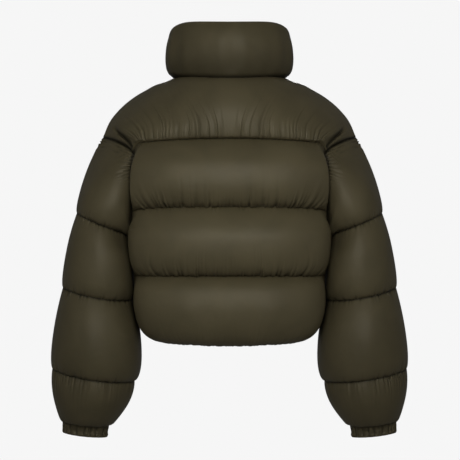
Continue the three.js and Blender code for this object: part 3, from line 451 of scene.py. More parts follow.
# Shapes of the sleeve. degrees is 0 at the underarm, 90 at the back and 180 outside.
def sleeve_ring(level, turn):
    """An oval round the sleeve, tilted up on its outer side and sagging at the back and front."""
    tilt = np.radians(read(SLEEVE_LINES, 5, level))
    across = -np.cos(turn) * read(SLEEVE_LINES, 3, level)
    sag = read(SLEEVE_LINES, 6, level) * np.sin(turn) ** 2
    return stack(
        read(SLEEVE_LINES, 1, level) + across * np.cos(tilt),
        np.sin(turn) * read(SLEEVE_LINES, 4, level),
        read(SLEEVE_LINES, 2, level) + across * np.sin(tilt) - sag,
    )


def armhole_round(degrees, function):
    """A function of the half armhole, read all the way round."""
    back = function(np.clip(degrees, 0, 180), 1)
    front = function(np.clip(360 - degrees, 0, 180), -1)
    return np.where((degrees <= 180)[..., None], back, front)


def sleeve_inside(level, degrees):
    """Below its first sewn line the sleeve is its ovals. Above it, it is a cubic curve from the
    armhole, sent out sideways first, and down along the sleeve at its end."""
    level, degrees = np.broadcast_arrays(np.asarray(level, float), np.asarray(degrees, float))
    degrees = np.mod(degrees, 360)
    turn = np.radians(degrees)
    below = sleeve_ring(np.maximum(level, 1), turn)
    start = armhole_round(degrees, armhole)
    one = np.ones_like(level)
    end = sleeve_ring(one, turn)
    chord = end - start
    length = np.linalg.norm(chord, axis=-1, keepdims=True)
    run = read(ARMHOLE, 5, np.where(degrees <= 180, degrees, 360 - degrees))
    leave = unit(unit(chord) + stack(run, 0, 0)) * length
    arrive = unit(sleeve_ring(one * 1.02, turn) - end) * length
    t = np.clip(level, 0, 1)[..., None]
    rest = 1 - t
    above = start * (1 + 2 * t) * rest * rest + end * t * t * (3 - 2 * t)
    above = above + leave * t * rest * rest - arrive * t * t * rest
    return np.where((level >= 1)[..., None], below, above)


def sleeve_outside(level, degrees):
    turn = np.radians(degrees)
    around = sleeve_inside(level, degrees + 1) - sleeve_inside(level, degrees - 1)
    down = sleeve_inside(np.minimum(CUFF_END, level + 0.01), degrees)
    down = down - sleeve_inside(np.maximum(0, level - 0.01), degrees)
    lift = unit(np.cross(around, down))
    wrapped = np.mod(degrees, 360)
    lift = unit(blend(lift, armhole_round(wrapped, armhole_lift), smooth((0.3 - level) / 0.3)))
    cuff_lift = stack(-np.cos(turn), np.sin(turn), 0)
    lift = unit(blend(lift, cuff_lift, smooth((level - 3.85) / 0.15)))
    k = np.clip(np.floor(level), 0, 3).astype(int)
    local = np.clip(level - k, 0, 1)
    c = np.cos(turn)
    outer, face, inner, pressed = (SLEEVE_PILLOWS[k, n] for n in range(4))
    height = face * np.sin(turn) ** 2 + np.where(c > 0, inner, outer) * c * c
    height = height + pressed * np.where(c > 0, np.sin(2 * turn) ** 2, 0) * smooth((level - 1.1) / 0.3)
    loft = np.where(level < CUFF, height * baffle(1 - local), 0)
    return sleeve_inside(level, degrees), lift, SEWN_THICKNESS + loft


# Meshes
def pull_apart(inside, outside, wrap):
    """Moves the edges of a wall inwards by half the gap between two sewn pieces."""
    inside, outside = inside.copy(), outside.copy()
    ends = [(0, slice(None)), (-1, slice(None))]
    nexts = [(1, slice(None)), (-2, slice(None))]
    if not wrap:
        ends += [(slice(None), 0), (slice(None), -1)]
        nexts += [(slice(None), 1), (slice(None), -2)]
    for end, near in zip(ends, nexts):
        step = unit(inside[near] - inside[end]) * SEAM_GAP / 2
        inside[end] += step
        outside[end] += step
    return inside, outside


def closed_wall(name, inside, outside, deep, thin, wrap=False, mirror=False):
    """One closed wall: a fine outside grid, a plain inside grid that keeps only the rows named in
    thin between its edges, and a rim that joins the two. UVs are metres along the cloth, and deep
    is painted shade: how far each outside place lies in a crease, which darkens its colour there."""
    inside, outside = pull_apart(inside, outside, wrap)
    rows, columns = outside.shape[:2]
    last = columns if wrap else columns - 1
    take = np.arange(last + 1) % columns
    place = np.stack([outside, inside])
    corner = lambda layer, row, column: (layer * rows + row) * (last + 1) + column

    def quads(a, b, c, d):
        return np.stack(np.broadcast_arrays(a, b, c, d), axis=-1).reshape(-1, 4)

    r, c = np.arange(rows - 1)[:, None], np.arange(last)[None, :]
    fine = quads(corner(0, r, c), corner(0, r, c + 1), corner(0, r + 1, c + 1), corner(0, r + 1, c))
    low, high = np.array(thin[:-1])[:, None], np.array(thin[1:])[:, None]
    first, end = (0, last) if wrap else (1, last - 1)
    c = np.arange(first, end)[None, :]
    plain = quads(corner(1, low, c), corner(1, high, c), corner(1, high, c + 1), corner(1, low, c + 1))
    c = np.arange(last)
    top = rows - 1
    rims = [
        quads(corner(1, 0, c), corner(1, 0, c + 1), corner(0, 0, c + 1), corner(0, 0, c)),
        quads(corner(0, top, c), corner(0, top, c + 1), corner(1, top, c + 1), corner(1, top, c)),
    ]
    faces = [fine, plain] + rims
    triangles = np.empty((0, 3), int)
    if not wrap:
        r = np.arange(rows - 1)
        for edge, a, b in ((0, 1, 0), (last, 0, 1)):
            ends = corner(a, r, edge), corner(b, r, edge), corner(b, r + 1, edge), corner(a, r + 1, edge)
            faces.append(quads(*ends))
        kept = np.array(thin)
        near = kept[np.abs(kept[None, :] - (r[:, None] + 0.5)).argmin(axis=1)]
        change = np.flatnonzero(np.diff(near)) + 1
        for edge, beside, flip in ((0, 1, False), (last, last - 1, True)):
            fans = np.stack([corner(1, r, edge), corner(1, r + 1, edge), corner(1, near, beside)], -1)
            joins = np.stack([
                corner(1, change, edge), corner(1, near[change], beside),
                corner(1, near[change - 1], beside),
            ], -1)
            both = np.concatenate([fans, joins])
            triangles = np.concatenate([triangles, both[:, ::-1] if flip else both])
    quad_faces = np.concatenate(faces)
    u = np.stack([arc(grid[:, take], 1) for grid in (outside, inside)])
    v = np.stack([arc(grid[:, take], 0) for grid in (outside, inside)])
    middle = u[:, :, last // 2, None]
    uv = np.stack([u - middle, v], axis=-1).reshape(-1, 2) * 0.001
    ids = np.arange(2 * rows * (last + 1))
    layer_row, column = np.divmod(ids, last + 1)
    vertex = layer_row * columns + column % columns
    points = place.reshape(-1, 3)
    # The outside places carry their painted shade, and the inside ones none
    painted_shade = np.concatenate([deep.ravel(), np.zeros(rows * columns)])
    return mesh_from(name, points, [quad_faces, triangles], vertex, uv, mirror, painted_shade)


def mesh_from(name, points, faces, vertex=None, uv=None, mirror=False, deep=None):
    """A mesh object from points in mm and arrays of faces, with unused points left out and its
    faces turned outwards by the sign of its volume. The pattern of vertex maps corners to points."""
    if vertex is None:
        vertex = np.arange(len(points))
    if mirror:
        points = points * (-1, 1, 1)
    flat = [vertex[group] for group in faces]
    used = np.unique(np.concatenate([group.ravel() for group in flat]))
    triangles = np.concatenate([
        part for group in flat for part in ([group[:, [0, n, n + 1]] for n in range(1, group.shape[1] - 1)])
    ])
    a, b, c = (points[triangles[:, n]] for n in range(3))
    inward = (a * np.cross(b, c)).sum() < 0
    if inward:
        faces = [group[:, ::-1] for group in faces]
        flat = [group[:, ::-1] for group in flat]
    remap = np.zeros(len(points), int)
    remap[used] = np.arange(len(used))
    mesh = bpy.data.meshes.new(name)
    mesh.from_pydata(points[used] * 0.001, [], [face for group in flat for face in remap[group].tolist()])
    if uv is not None:
        layer = mesh.uv_layers.new(name="cloth")
        corners = np.concatenate([uv[group].reshape(-1, 2) for group in faces])
        layer.data.foreach_set("uv", corners.astype(np.float32).ravel())
    # deep is painted shade, stored as the crease attribute that darkens the colour in creases
    if deep is not None:
        crease = mesh.attributes.new("crease", "FLOAT", "POINT")
        crease.data.foreach_set("value", np.clip(deep[used], 0, 1).astype(np.float32))
    mesh.shade_smooth()
    mesh.update()
    piece = bpy.data.objects.new(name, mesh)
    bpy.context.scene.collection.objects.link(piece)
    return piece


def dress(piece, nodes, material, body="jacket"):
    """Parents a piece to its body, hides the model's parts that it takes the place of, and gives its
    material.
    """
    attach(piece, body)
    if nodes:
        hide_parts(*nodes)
    piece.data.materials.clear()
    piece.data.materials.append(material)


def padded_pair(name, ending, walls, kept_rows, material, wrap=False):
    """The wearer's left piece and its mirror image on the right, each in place of its own node."""
    for hand in ("left", "right"):
        node = f"{name}_{hand}"
        piece = closed_wall(node + ending, *walls, kept_rows, wrap, hand == "right")
        dress(piece, [node], material)


def thin_rows(rows, count):
    """The rows that an inside grid keeps: its two edges, and count rows spread between them."""
    between = np.linspace(3, rows - 4, count).round().astype(int)
    return sorted({0, rows - 1, *between.tolist()})


def bunched(count, pull=0.1):
    """Places from 0 to 1, closer together towards both ends: t - pull sin(2 pi t)."""
    t = np.linspace(0, 1, count + 1)
    return t - pull * np.sin(2 * np.pi * t)


# Panels
def body_levels():
    rows = bunched(BAFFLE_ROWS)
    return np.concatenate([rows[:-1] + k for k in range(YOKE)] + [[YOKE]])


def pushed(wall, lift, puff, near):
    """A wall moved out by its puckers, along its own normal, which eases over to the direction
    of the sewn edge where near is 0."""
    normal = grid_normals(wall, lift)
    return wall + unit(blend(lift, normal, smooth(near))) * puff[..., None]


def painted_valley_shade(loft, scale):
    """Painted shade for the puckers' valleys: how deep in a crease a place lies, from the puckers' own
    height.
    """
    return np.clip(-loft / scale, 0, 1)


def body_half(side, shares):
    """Inside and outside of half the body below the yoke, with its puckers, on a grid whose
    columns follow shares. Puckers stand long above each sewn line and short below it. The third
    grid is painted shade: how deep in a crease each place lies, which darkens the colour there."""
    levels = body_levels()
    level, column = np.meshgrid(levels, np.linspace(0, 1, HALF_COLUMNS), indexing="ij")
    share = mix(shares(level), 1, column)
    base, lift, height, open_side = body_outside(level, share, side)
    if side < 0:
        height = beside_zip(height, level, share)
    wall = base + lift * height[..., None]
    k = np.clip(np.floor(level), 0, YOKE - 1).astype(int)
    along = arc(wall, 1)
    climb = arc(wall, 0)
    loft = np.zeros_like(height)
    near = np.zeros_like(height)
    for n in range(YOKE):
        low = climb - climb[n * BAFFLE_ROWS]
        high = climb[(n + 1) * BAFFLE_ROWS] - climb
        seed = BODY_SEED + n + FRONT_SEED * (side < 0)
        lean = along[n * BAFFLE_ROWS] - 0.5 * low * share ** 2
        strong = (0.7 + 0.7 * share ** 1.5) * (0.5 if n == 0 else 1)
        long = strong * gathers(low, lean, seed, *LONG_PUCKERS)
        short = (0.5 + 0.6 * share) * gathers(high, along, seed + SHORT_SEED, *SHORT_PUCKERS)
        loft = np.where(k == n, long + short, loft)
        near = np.where(k == n, np.minimum(low, high) / SEAM_REACH, near)
    broad = np.random.default_rng(3 + (side < 0))
    swell = 1.1 * waves(along / 70, broad) * waves(climb / 90, broad) * pillow(level - k)
    from_edge = (1 - share) * HALF_GIRTH
    puff = (loft + swell) * open_side * smooth(from_edge / 10)
    # Painted shade: darker in the puckers' valleys, along the sewn lines and in the crease at the side edge
    # and armhole
    crease = mix(SIDE_PAINTED_SHADE_WIDTH, ARMHOLE_PAINTED_SHADE_WIDTH, smooth((level - UNDERARM) / 0.4))
    deep = 0.7 * painted_valley_shade(loft, 3) + 0.5 * fade(near, 0.35) + 1.5 * fade(from_edge, crease)
    return base, pushed(wall, lift, puff, np.minimum(near, from_edge / 12)), deep


def yoke_half(side, shares):
    """The same three grids for half a yoke, the third being its painted shade. Its puckers run up from its
    sewn line.
    """
    rows = bunched(BAFFLE_ROWS, 0.08)
    up, column = np.meshgrid(rows, np.linspace(0, 1, HALF_COLUMNS), indexing="ij")
    share = mix(shares(up), 1, column)
    base, lift, height, width = yoke_outside(up, share, side)
    if side < 0:
        height = beside_zip(height, np.full_like(share, YOKE), share)
    wall = base + lift * height[..., None]
    along = arc(wall, 1)
    climb = arc(wall, 0)
    high = climb[-1] - climb
    seed = YOKE_SEED + (side < 0)
    beside_neck = gathers(high, along, seed + 2, *NECK_PUCKERS) * (share < NECK_SHARE)
    loft = gathers(climb, along[:1], seed, *YOKE_PUCKERS) + beside_neck
    swell = waves(along / 80, np.random.default_rng(7)) * smooth(climb / 40) * width
    from_edge = (1 - share) * HALF_GIRTH
    puff = (loft + swell) * smooth(from_edge / 12)
    near = np.minimum(climb, high) / SEAM_REACH
    # Painted shade: darker in the puckers' valleys, along the sewn lines, at the armhole edge and in the
    # fold at the yoke's corner
    fold_shade = smooth(corner_fold(share, up) / 7)
    deep = 0.4 * painted_valley_shade(loft, 2.5) + 0.15 * fade(near, 0.25) + 1.2 * fade(from_edge, 2)
    return base, pushed(wall, lift, puff, np.minimum(near, from_edge / 12)), deep + 0.9 * fold_shade


def both_halves(half):
    """Half a grid and its mirror image, joined at the centre line."""
    other = half[:, :0:-1] * ((-1, 1, 1) if half.ndim == 3 else 1)
    return np.concatenate([other, half], axis=1)


def zero_share(level):
    """Where a back starts, on the centre line."""
    return np.zeros_like(level)


def yoke_zip_share(up):
    """Where a front yoke starts, beside the zip."""
    return mix(zip_share(np.full_like(up, YOKE)), YOKE_ZIP_SHARE, up)


def armhole_folds(wall, out):
    """Short folds that run out sideways from the armhole seam just below the yoke's corner. They
    are level at the top and turn down further below, about 5.5 mm apart and 28 mm long."""
    below = YOKE_CORNER_Z - wall[..., 2]
    across = np.abs(wall[..., 0]) - YOKE_CORNER_X
    place = below + across * mix(0.4, -0.25, smooth(below / 45))
    ridge = np.abs(np.sin(np.pi * (place + 2) / 5.5)) ** 0.7 - 0.62
    window = smooth((place + 7) / 6) * smooth((70 - place) / 50)
    return 4.8 * ridge * window * fade(out, 24) * smooth(out / 2)


def sleeve_wall():
    """Inside and outside of the wearer's left sleeve, and painted shade: how deep in a crease each place
    lies.
    """
    rows = bunched(SLEEVE_ROWS)
    levels = np.concatenate([rows[:-1] + k for k in range(CUFF)] + [[CUFF]])
    t = np.linspace(0, 1, SLEEVE_COLUMNS, endpoint=False)
    places = 360 * (t - 0.045 * np.sin(4 * np.pi * (t + 0.14)))
    level, degrees = np.meshgrid(levels, places, indexing="ij")
    base, lift, height = sleeve_outside(level, degrees)
    turn = np.radians(degrees)
    inner = smooth(np.cos(turn) * 1.6 - 0.5)
    height = height + SLEEVE_BESIDE * inner * fade(level - 1.92, 0.16)
    wall = base + lift * height[..., None]
    climb = arc(wall, 0)
    round_way = degrees / 360 * SLEEVE_GIRTH
    face = smooth(np.abs(np.sin(turn)) * 1.5 - 0.15)
    loft = np.zeros_like(height)
    near = np.zeros_like(height)
    k = np.clip(np.floor(level), 0, CUFF - 1).astype(int)
    for n in range(CUFF):
        from_top = climb - climb[n * SLEEVE_ROWS]
        from_low = climb[(n + 1) * SLEEVE_ROWS] - climb
        if n == 0:
            ruffles = armhole_folds(wall, from_top)
        else:
            ruffles = gathers(from_top, round_way, RUFFLE_SEED + n, *SLEEVE_RUFFLES[n - 1])
        puckers = gathers(from_low, round_way, SLEEVE_SEED + n, *SLEEVE_PUCKERS[n])
        loft = np.where(k == n, puckers + ruffles, loft)
        near = np.where(k == n, np.minimum(from_top, from_low) / SEAM_REACH, near)
    swell = 1.2 * np.cos(3 * turn + 1) * np.sin(climb / 41) * pillow(level - k)
    puff = loft * np.where(level < 0.3, 1, smooth(face / 0.5)) + swell * face
    # Painted shade: darker in the puckers' valleys, along the sewn lines and along the armhole seam, with
    # less in the lowest baffle
    armhole_shade_width = np.where(np.abs(degrees - 180) < 45, 2.2, ARMHOLE_PAINTED_SHADE_WIDTH)
    painted_shade_factor = np.where(k == CUFF - 1, 0.2, 0.6)
    deep = painted_shade_factor * painted_valley_shade(loft, 2) + fade(near, 0.6) + 1.5 * fade(climb, armhole_shade_width)
    outer = pushed(wall, lift, puff, near)
    z = outer[..., 2]
    facing = np.abs(np.mod(degrees, 360) - 180) / 90 - 1
    # Painted shade on the sleeve's inner side, where it lies against the body
    beside = smooth((facing - 0.58) / 0.25) * smooth((-215 - z) / 30) * smooth((z + 500) / 40)
    return base, outer, np.maximum(deep, 0.9 * beside)


def cuff_wall():
    """The elastic cuff: a fine grid with ribs of gathered cloth, round ridges and sharp valleys."""
    rows = CUFF + bunched(CUFF_ROWS, 0.05)
    level, degrees = np.meshgrid(rows, np.linspace(0, 360, CUFF_COLUMNS, endpoint=False), indexing="ij")
    base, lift, height = sleeve_outside(level, degrees)
    turn = np.radians(degrees)
    uneven = 0.22 * np.sin(5 * turn) + 0.1 * np.sin(3 * turn)
    spacing = degrees / 360 * CUFF_RIBS + uneven
    local = level - CUFF
    rib = (np.abs(np.sin(np.pi * spacing)) ** 0.7 - 0.6) * 3.6
    strength = 0.85 + 0.15 * np.sin(4 * turn + 1)
    ends = smooth(local / 0.16) * smooth((1.02 - local) / 0.2)
    roll = 1.2 * np.sin(np.pi * local)
    outside = base + lift * (height + rib * strength * (0.35 + 0.65 * ends) + roll)[..., None]
    # The third grid is painted shade in the ribs' valleys
    return base, outside, painted_valley_shade(rib, 3)


def collar_skin():
    """The collar's closed skin: a rounded oblong section carried round the neck. Its columns run
    from one side of the zip to the other and its rows round the section. The second grid is painted
    shade on the outer face: darker towards the foot, most of all at the sewn foot."""
    zip_turn = np.pi - COLLAR_ZIP_TURN
    share, around = np.meshgrid(bunched(300, 0.02), (np.arange(112) + 0.5) / 112, indexing="ij")
    turn = mix(-zip_turn, zip_turn, share)
    place = np.abs(turn)
    to_side = np.sin(turn) ** 2
    out = unit(stack(np.sin(place) / NECK_HALF, np.cos(place) / NECK_BACK, 0))
    from_zip = (1 - np.abs(2 * share - 1)) * COLLAR_ROUND / 2
    full = pillow(np.minimum(0.5, np.maximum(0, from_zip - 18) / 50))
    half = mix(SEWN_THICKNESS / 2 + 0.2, COLLAR_THICKNESS / 2, full)
    tall = mix(COLLAR_HEIGHT - 6, COLLAR_HEIGHT - COLLAR_DIP * np.sin(turn) ** 8, full)
    angle = around * 2 * np.pi
    up = 0.5 - 0.5 * bent(np.cos(angle), COLLAR_EDGE)
    swell = bent(np.sin(angle), COLLAR_EDGE)
    tuck = mix(*COLLAR_TUCK, to_side)
    rise = np.sin(np.pi / 2 * np.minimum(1, up / tuck)) ** mix(0.8, 0.4, to_side)
    root = mix(SEWN_THICKNESS / 2 / half, 1, rise)
    at_back = np.cos(turn) ** 2 * (place < np.pi / 2)
    belly = mix(np.sin(np.pi * np.minimum(1, up * 1.25)), np.sin(np.pi * up ** 1.8), at_back)
    bulge = 1 + COLLAR_BELLY * belly * full
    across = SEWN_THICKNESS / 2 + swell * half * root * np.where(swell > 0, bulge, 1)
    along = share * COLLAR_ROUND
    crease = 1.3 * waves(along / 34, np.random.default_rng(COLLAR_SEED))
    crease = crease * smooth(up / 0.2) * smooth((1.1 - up) / 0.5)
    foot = gathers(up * tall, along, COLLAR_SEED + 2, *COLLAR_FOOT_PUCKERS)
    top = gathers((1 - up) * tall, along, COLLAR_SEED + 3, *COLLAR_TOP_PUCKERS)
    across = across + (crease + foot + top) * full * swell
    lean = COLLAR_LEAN * (0.5 + 0.5 * np.cos(turn)) * up ** 3
    at = neck(place) + out * (across - lean)[..., None]
    at[..., 2] += up * tall + SEAM_GAP + 0.45 * across * smooth((0.1 - up) / 0.1)
    at[..., 0] *= np.where(turn < 0, -1, 1)
    # Painted shade on the outer face: darker over the lower part, most of all at the sewn foot
    low = smooth((0.75 - up) / 0.75)
    deep = np.where(swell > 0, 0.5 * low + 0.6 * fade(up * tall, 5), 0)
    return at, deep


def skin_object(name, skin, deep):
    """A closed tube as an object. UVs are metres round the neck and metres round the section."""
    points, faces = tube_faces(skin)
    uv = np.stack([arc(skin, 0), arc(skin, 1)], -1).reshape(-1, 2) * 0.001
    return mesh_from(name, points, faces, uv=uv, deep=deep.ravel())


# Stitches, zip teeth and other small shapes that are set along a line
def rounded_block(half, power, around=10, rows=6):
    """A rounded block about the origin, as a superellipsoid: |x/a|^p + |y/b|^p + |z/c|^p = 1. Returns
    its points and its faces, with a single point at each end."""
    turn = np.arange(around) * 2 * np.pi / around
    height = np.linspace(-np.pi / 2, np.pi / 2, rows + 1)[1:-1, None]
    edge = 2 / power
    out, up = bent(np.cos(height), edge), bent(np.sin(height), edge)
    grid = stack(out * bent(np.cos(turn), edge), out * bent(np.sin(turn), edge), up)
    points = np.concatenate([grid.reshape(-1, 3), [(0, 0, -1), (0, 0, 1)]]) * half
    row = np.arange(rows - 2)[:, None] * around
    column = np.arange(around)[None, :]
    following = (column + 1) % around
    quads = np.stack([row + column, row + following, row + around + following, row + around + column], -1)
    top = (rows - 2) * around
    ring, after = column[0], following[0]
    low_end = np.stack([after, ring, np.full(around, len(points) - 2)], -1)
    high_end = np.stack([top + ring, top + after, np.full(around, len(points) - 1)], -1)
    return points, [quads.reshape(-1, 4), np.concatenate([low_end, high_end])]


def repeated(shape, centres, along, across, out):
    """Copies of one small shape, its x, y and z turned along, across and out of a line."""
    points, faces = shape
    axes = np.stack([along, across, out], axis=1)
    placed = centres[:, None, :] + np.einsum("pk,nkc->npc", points, axes)
    shifts = np.arange(len(centres))[:, None, None] * len(points)
    return placed.reshape(-1, 3), [(group[None] + shifts).reshape(-1, group.shape[1]) for group in faces]


def evenly(line, step):
    """Places a step apart along a line, each with the direction of the line there, and the share
    of the way that it is between two of the line's points."""
    way = arc(line, 0)
    count = int(way[-1] / step)
    at = (np.arange(count) + 0.5) * way[-1] / count
    points = np.stack([np.interp(at, way, line[:, n]) for n in range(3)], -1)
    return points, unit(np.gradient(points, axis=0)), np.interp(at, way, np.arange(len(line)))


STITCH = (1.15, 0.32, 0.3)
STITCH_STEP = 3.1
STITCH_LIFT = 0.25
YOKE_STITCH_ROW = 2


def stitches(name, lines):
    """Rows of stitches as one mesh. lines holds each sewn line's points and its directions out of
    the cloth; a stitch is a rounded thread that lies along the line."""
    shape = rounded_block(STITCH, 2.5, 6, 6)
    every_point, every_face, start = [], [[], []], 0
    for line, out in lines:
        centres, along, index = evenly(line, STITCH_STEP)
        lift = unit(out[np.round(index).astype(int)])
        across = unit(np.cross(lift, along))
        points, faces = repeated(shape, centres + STITCH_LIFT * lift, along, across, np.cross(along, across))
        every_point.append(points)
        for kept, group in zip(every_face, faces):
            kept.append(group + start)
        start += len(points)
    piece = mesh_from(name, np.concatenate(every_point), [np.concatenate(group) for group in every_face])
    dress(piece, [], thread_material(bpy.context.scene.jacket_look))
    return piece


def sewn_rows(inside, outside, rows, mirror=False):
    """The points of some of a wall's rows, each with its directions out of the cloth."""
    flip = (-1, 1, 1) if mirror else (1, 1, 1)
    return [(outside[row] * flip, (outside[row] - inside[row]) * flip) for row in rows]


# Zip
SLIDER_Z = NECK_FRONT_Z + COLLAR_HEIGHT * 0.9
SLIDER_HALF_HEIGHT = 6.5
SLIDER_FACE = -NECK_FRONT - 3.2
SLIDER_DEPTH = 5.6
PIN = (SLIDER_FACE - 1.3, 48.49)
TAB_HALF = (3.0, 15.0)
TAB_SLOT_HALF = (1.6, 2.3)
TAB_MARGIN = 0.7
# Heights between which the tab's two faces are dished, and how deep
TAB_DISH = (20.5, 41.0)
TAB_DISH_DEPTH = 0.3
PLATE_HALF = (3.9, 0.75, 6.4)
POST_HALF = (1.3, 2.6, 2.2)
POST_RISE = 3.6
ARCH_HALF = 3.8
ARCH_REACH = 3.6
ARCH_SINK = 0.4
ARCH_BAR = (1.05, 0.58)
TAPE_SECTION = (
    (0.6, -3.6), (1.2, -4), (9.4, -4), (10, -3.7), (10, -3.1), (9.4, -2.8), (2.9, -2.8), (2.3, -2),
    (1.2, -2), (0.6, -2.5),
)
TOOTH = (0.52, 1.85, 1.0)
TOOTH_STEP = 1.3
TAPE_STEP = 2.0


def centre_front():
    """The front's centre line on the inside wall, from the hem to the collar's top."""
    body = body_inside(body_levels(), 0, -1)
    yoke = yoke_inside(bunched(BAFFLE_ROWS, 0.08)[1:], 0, -1)
    foot = neck(np.array([np.pi]))
    rise = np.linspace(0, 0.96, 40)[1:, None] * (0, 0, COLLAR_HEIGHT)
    return np.concatenate([body, yoke, foot + rise])


def zip_tape(mirror):
    """A woven tape: a flat section with a corded edge, carried up the front's centre line."""
    points, along = evenly(centre_front(), TAPE_STEP)[:2]
    out = unit(stack(0, -along[:, 2], along[:, 1]))
    section = np.array(TAPE_SECTION)
    skin = points[:, None, :] + section[None, :, 1:2] * out[:, None, :]
    skin[..., 0] = section[None, :, 0] * (-1 if mirror else 1)
    return skin


def zip_teeth():
    """Moulded teeth, one from each side in turn. Each reaches a little past the centre line."""
    line = centre_front()
    line = line[line[:, 2] < SLIDER_Z - SLIDER_HALF_HEIGHT - 0.5]
    centres, along = evenly(line, TOOTH_STEP)[:2]
    out = unit(stack(0, -along[:, 2], along[:, 1]))
    side = np.where(np.arange(len(centres)) % 2, 1.0, -1.0)
    across = stack(side, 0, 0)
    middle = centres + 0.85 * across + 0.9 * out
    return repeated(rounded_block(TOOTH, 4, 8, 6), middle, along, across, out)


def slider_parts():
    """The slider: a front and a back plate, the post between them, and an arch for the tab, which
    is a flat bar led out of the front plate and back into it."""
    plates = (SLIDER_FACE + PLATE_HALF[1], SLIDER_FACE + SLIDER_DEPTH - PLATE_HALF[1])
    blocks = [(PLATE_HALF, (0, y, SLIDER_Z)) for y in plates]
    blocks.append((POST_HALF, (0, SLIDER_FACE + SLIDER_DEPTH / 2, SLIDER_Z + POST_RISE)))
    shapes = []
    for half, middle in blocks:
        points, faces = rounded_block(half, 5, 32, 20)
        shapes.append((points + middle, faces))
    t = np.linspace(0, np.pi, 25)
    y = SLIDER_FACE + ARCH_SINK - ARCH_REACH * bent(np.sin(t), 0.55)
    path = stack(0, y, SLIDER_Z + ARCH_HALF * bent(np.cos(t), 0.55))
    out = np.cross(unit(np.gradient(path, axis=0)), (1, 0, 0))
    turn = np.arange(12)[:, None] * np.pi / 6
    bar = ARCH_BAR[0] * np.cos(turn) * np.array([1, 0, 0])
    shapes.append(tube_faces(path[:, None, :] + bar + ARCH_BAR[1] * np.sin(turn) * out[:, None, :]))
    return shapes


def tube_faces(skin):
    """Points and faces of a tube of rings, closed at its two ends with strips."""
    count, sides = skin.shape[:2]
    ring = np.arange(count - 1)[:, None] * sides
    side = np.arange(sides)[None, :]
    following = (side + 1) % sides
    tube = np.stack([ring + side, ring + sides + side, ring + sides + following, ring + following], -1)
    half = np.arange(sides // 2 - 1)
    cap = np.stack([half, half + 1, sides - 2 - half, sides - 1 - half], -1)
    return skin.reshape(-1, 3), [tube.reshape(-1, 4), cap, (count - 1) * sides + cap[:, ::-1]]


def rounded_outline(turn, half, power):
    """Where a ray at an angle meets a rounded rectangle |x/a|^p + |z/b|^p = 1 about its middle."""
    x, z = np.sin(turn), np.cos(turn)
    reach = (np.abs(x / half[0]) ** power + np.abs(z / half[1]) ** power) ** (-1 / power)
    return x * reach, z * reach


def tab_skin():
    """The tab as a ring: an outline round the tab, a slot near its top, and between them two faces
    with rounded edges. Its lower part is dished on both faces."""
    turn = np.linspace(0, 2 * np.pi, 120, endpoint=False)
    turn = turn - 0.42 * np.sin(2 * turn)
    x, z = rounded_outline(turn, TAB_HALF, 8)
    z = z + PIN[1] + TAB_MARGIN - TAB_HALF[1]
    slot_z = PIN[1] - TAB_MARGIN - TAB_SLOT_HALF[1]
    slot_x, slot_up = rounded_outline(np.arctan2(x, z - slot_z), TAB_SLOT_HALF, 6)
    rim = stack(x, 0, z)
    hole = stack(slot_x, 0, slot_up + slot_z)
    way = hole - rim
    length = np.linalg.norm(way, axis=-1, keepdims=True)
    rings = [(0, 0, 0.3), (0, 0.12, 0.55), (0, 0.35, 0.65)]
    rings += [(m, 0, 0.65) for m in np.linspace(0.1, 0.9, 13)]
    rings += [(1, -0.35, 0.65), (1, -0.12, 0.55), (1, 0, 0.3)]
    rings += [(m, step, -off) for m, step, off in rings[::-1]]
    skin = []
    for m, step, off in rings:
        at = rim + way * m + way / length * step
        in_sides = smooth((TAB_HALF[0] - 0.8 - np.abs(at[:, 0])) / 0.5)
        in_ends = smooth(TAB_DISH[1] - at[:, 2]) * smooth(at[:, 2] - TAB_DISH[0])
        dish = TAB_DISH_DEPTH * in_sides * in_ends * (0 < m < 1)
        at[:, 1] = PIN[0] - np.sign(off) * (abs(off) - dish)
        skin.append(at)
    return np.stack(skin, axis=1)


def ring_faces(skin):
    """Points and faces of a grid that closes on itself both ways."""
    count, sides = skin.shape[:2]
    ring, side = np.arange(count)[:, None], np.arange(sides)[None, :]
    after, following = (ring + 1) % count * sides, (side + 1) % sides
    ring = ring * sides
    corners = [ring + side, after + side, after + following, ring + following]
    return skin.reshape(-1, 3), [np.stack(corners, -1).reshape(-1, 4)]


def joined(shapes):
    """Several shapes as one list of points and one list of faces for each number of corners."""
    points, groups, start = [], {}, 0
    for shape_points, faces in shapes:
        points.append(shape_points)
        for group in faces:
            groups.setdefault(group.shape[1], []).append(group + start)
        start += len(shape_points)
    return np.concatenate(points), [np.concatenate(group) for group in groups.values()]


# Materials
class ClothLook(bpy.types.PropertyGroup):
    """Colours and finish of the jacket"""
    shell: bpy.props.FloatVectorProperty(
        name="Shell", description="Colour of the nylon shell", subtype="COLOR", size=3,
        default=(0.088, 0.0735, 0.0395), min=0, max=1)
    tape: bpy.props.FloatVectorProperty(
        name="Zip tape", description="Colour of the woven zip tape", subtype="COLOR", size=3,
        default=(0.022, 0.019, 0.012), min=0, max=1)
    metal: bpy.props.FloatVectorProperty(
        name="Metal", description="Colour of the slider and its tab", subtype="COLOR", size=3,
        default=(0.09, 0.083, 0.068), min=0, max=1)
    roughness: bpy.props.FloatProperty(
        name="Shell roughness", description="How dull the nylon is", default=0.48, min=0, max=1)


class StudioSizes(bpy.types.PropertyGroup):
    """Camera and floor"""
    distance: bpy.props.FloatProperty(
        name="Camera distance", description="From the camera to the jacket", default=3.5, unit="LENGTH")
    view_width: bpy.props.FloatProperty(
        name="View width", description="Width seen at the jacket", default=0.8648, unit="LENGTH")
    floor: bpy.props.FloatProperty(
        name="Floor height", description="Height of the floor", default=-0.78, unit="LENGTH")


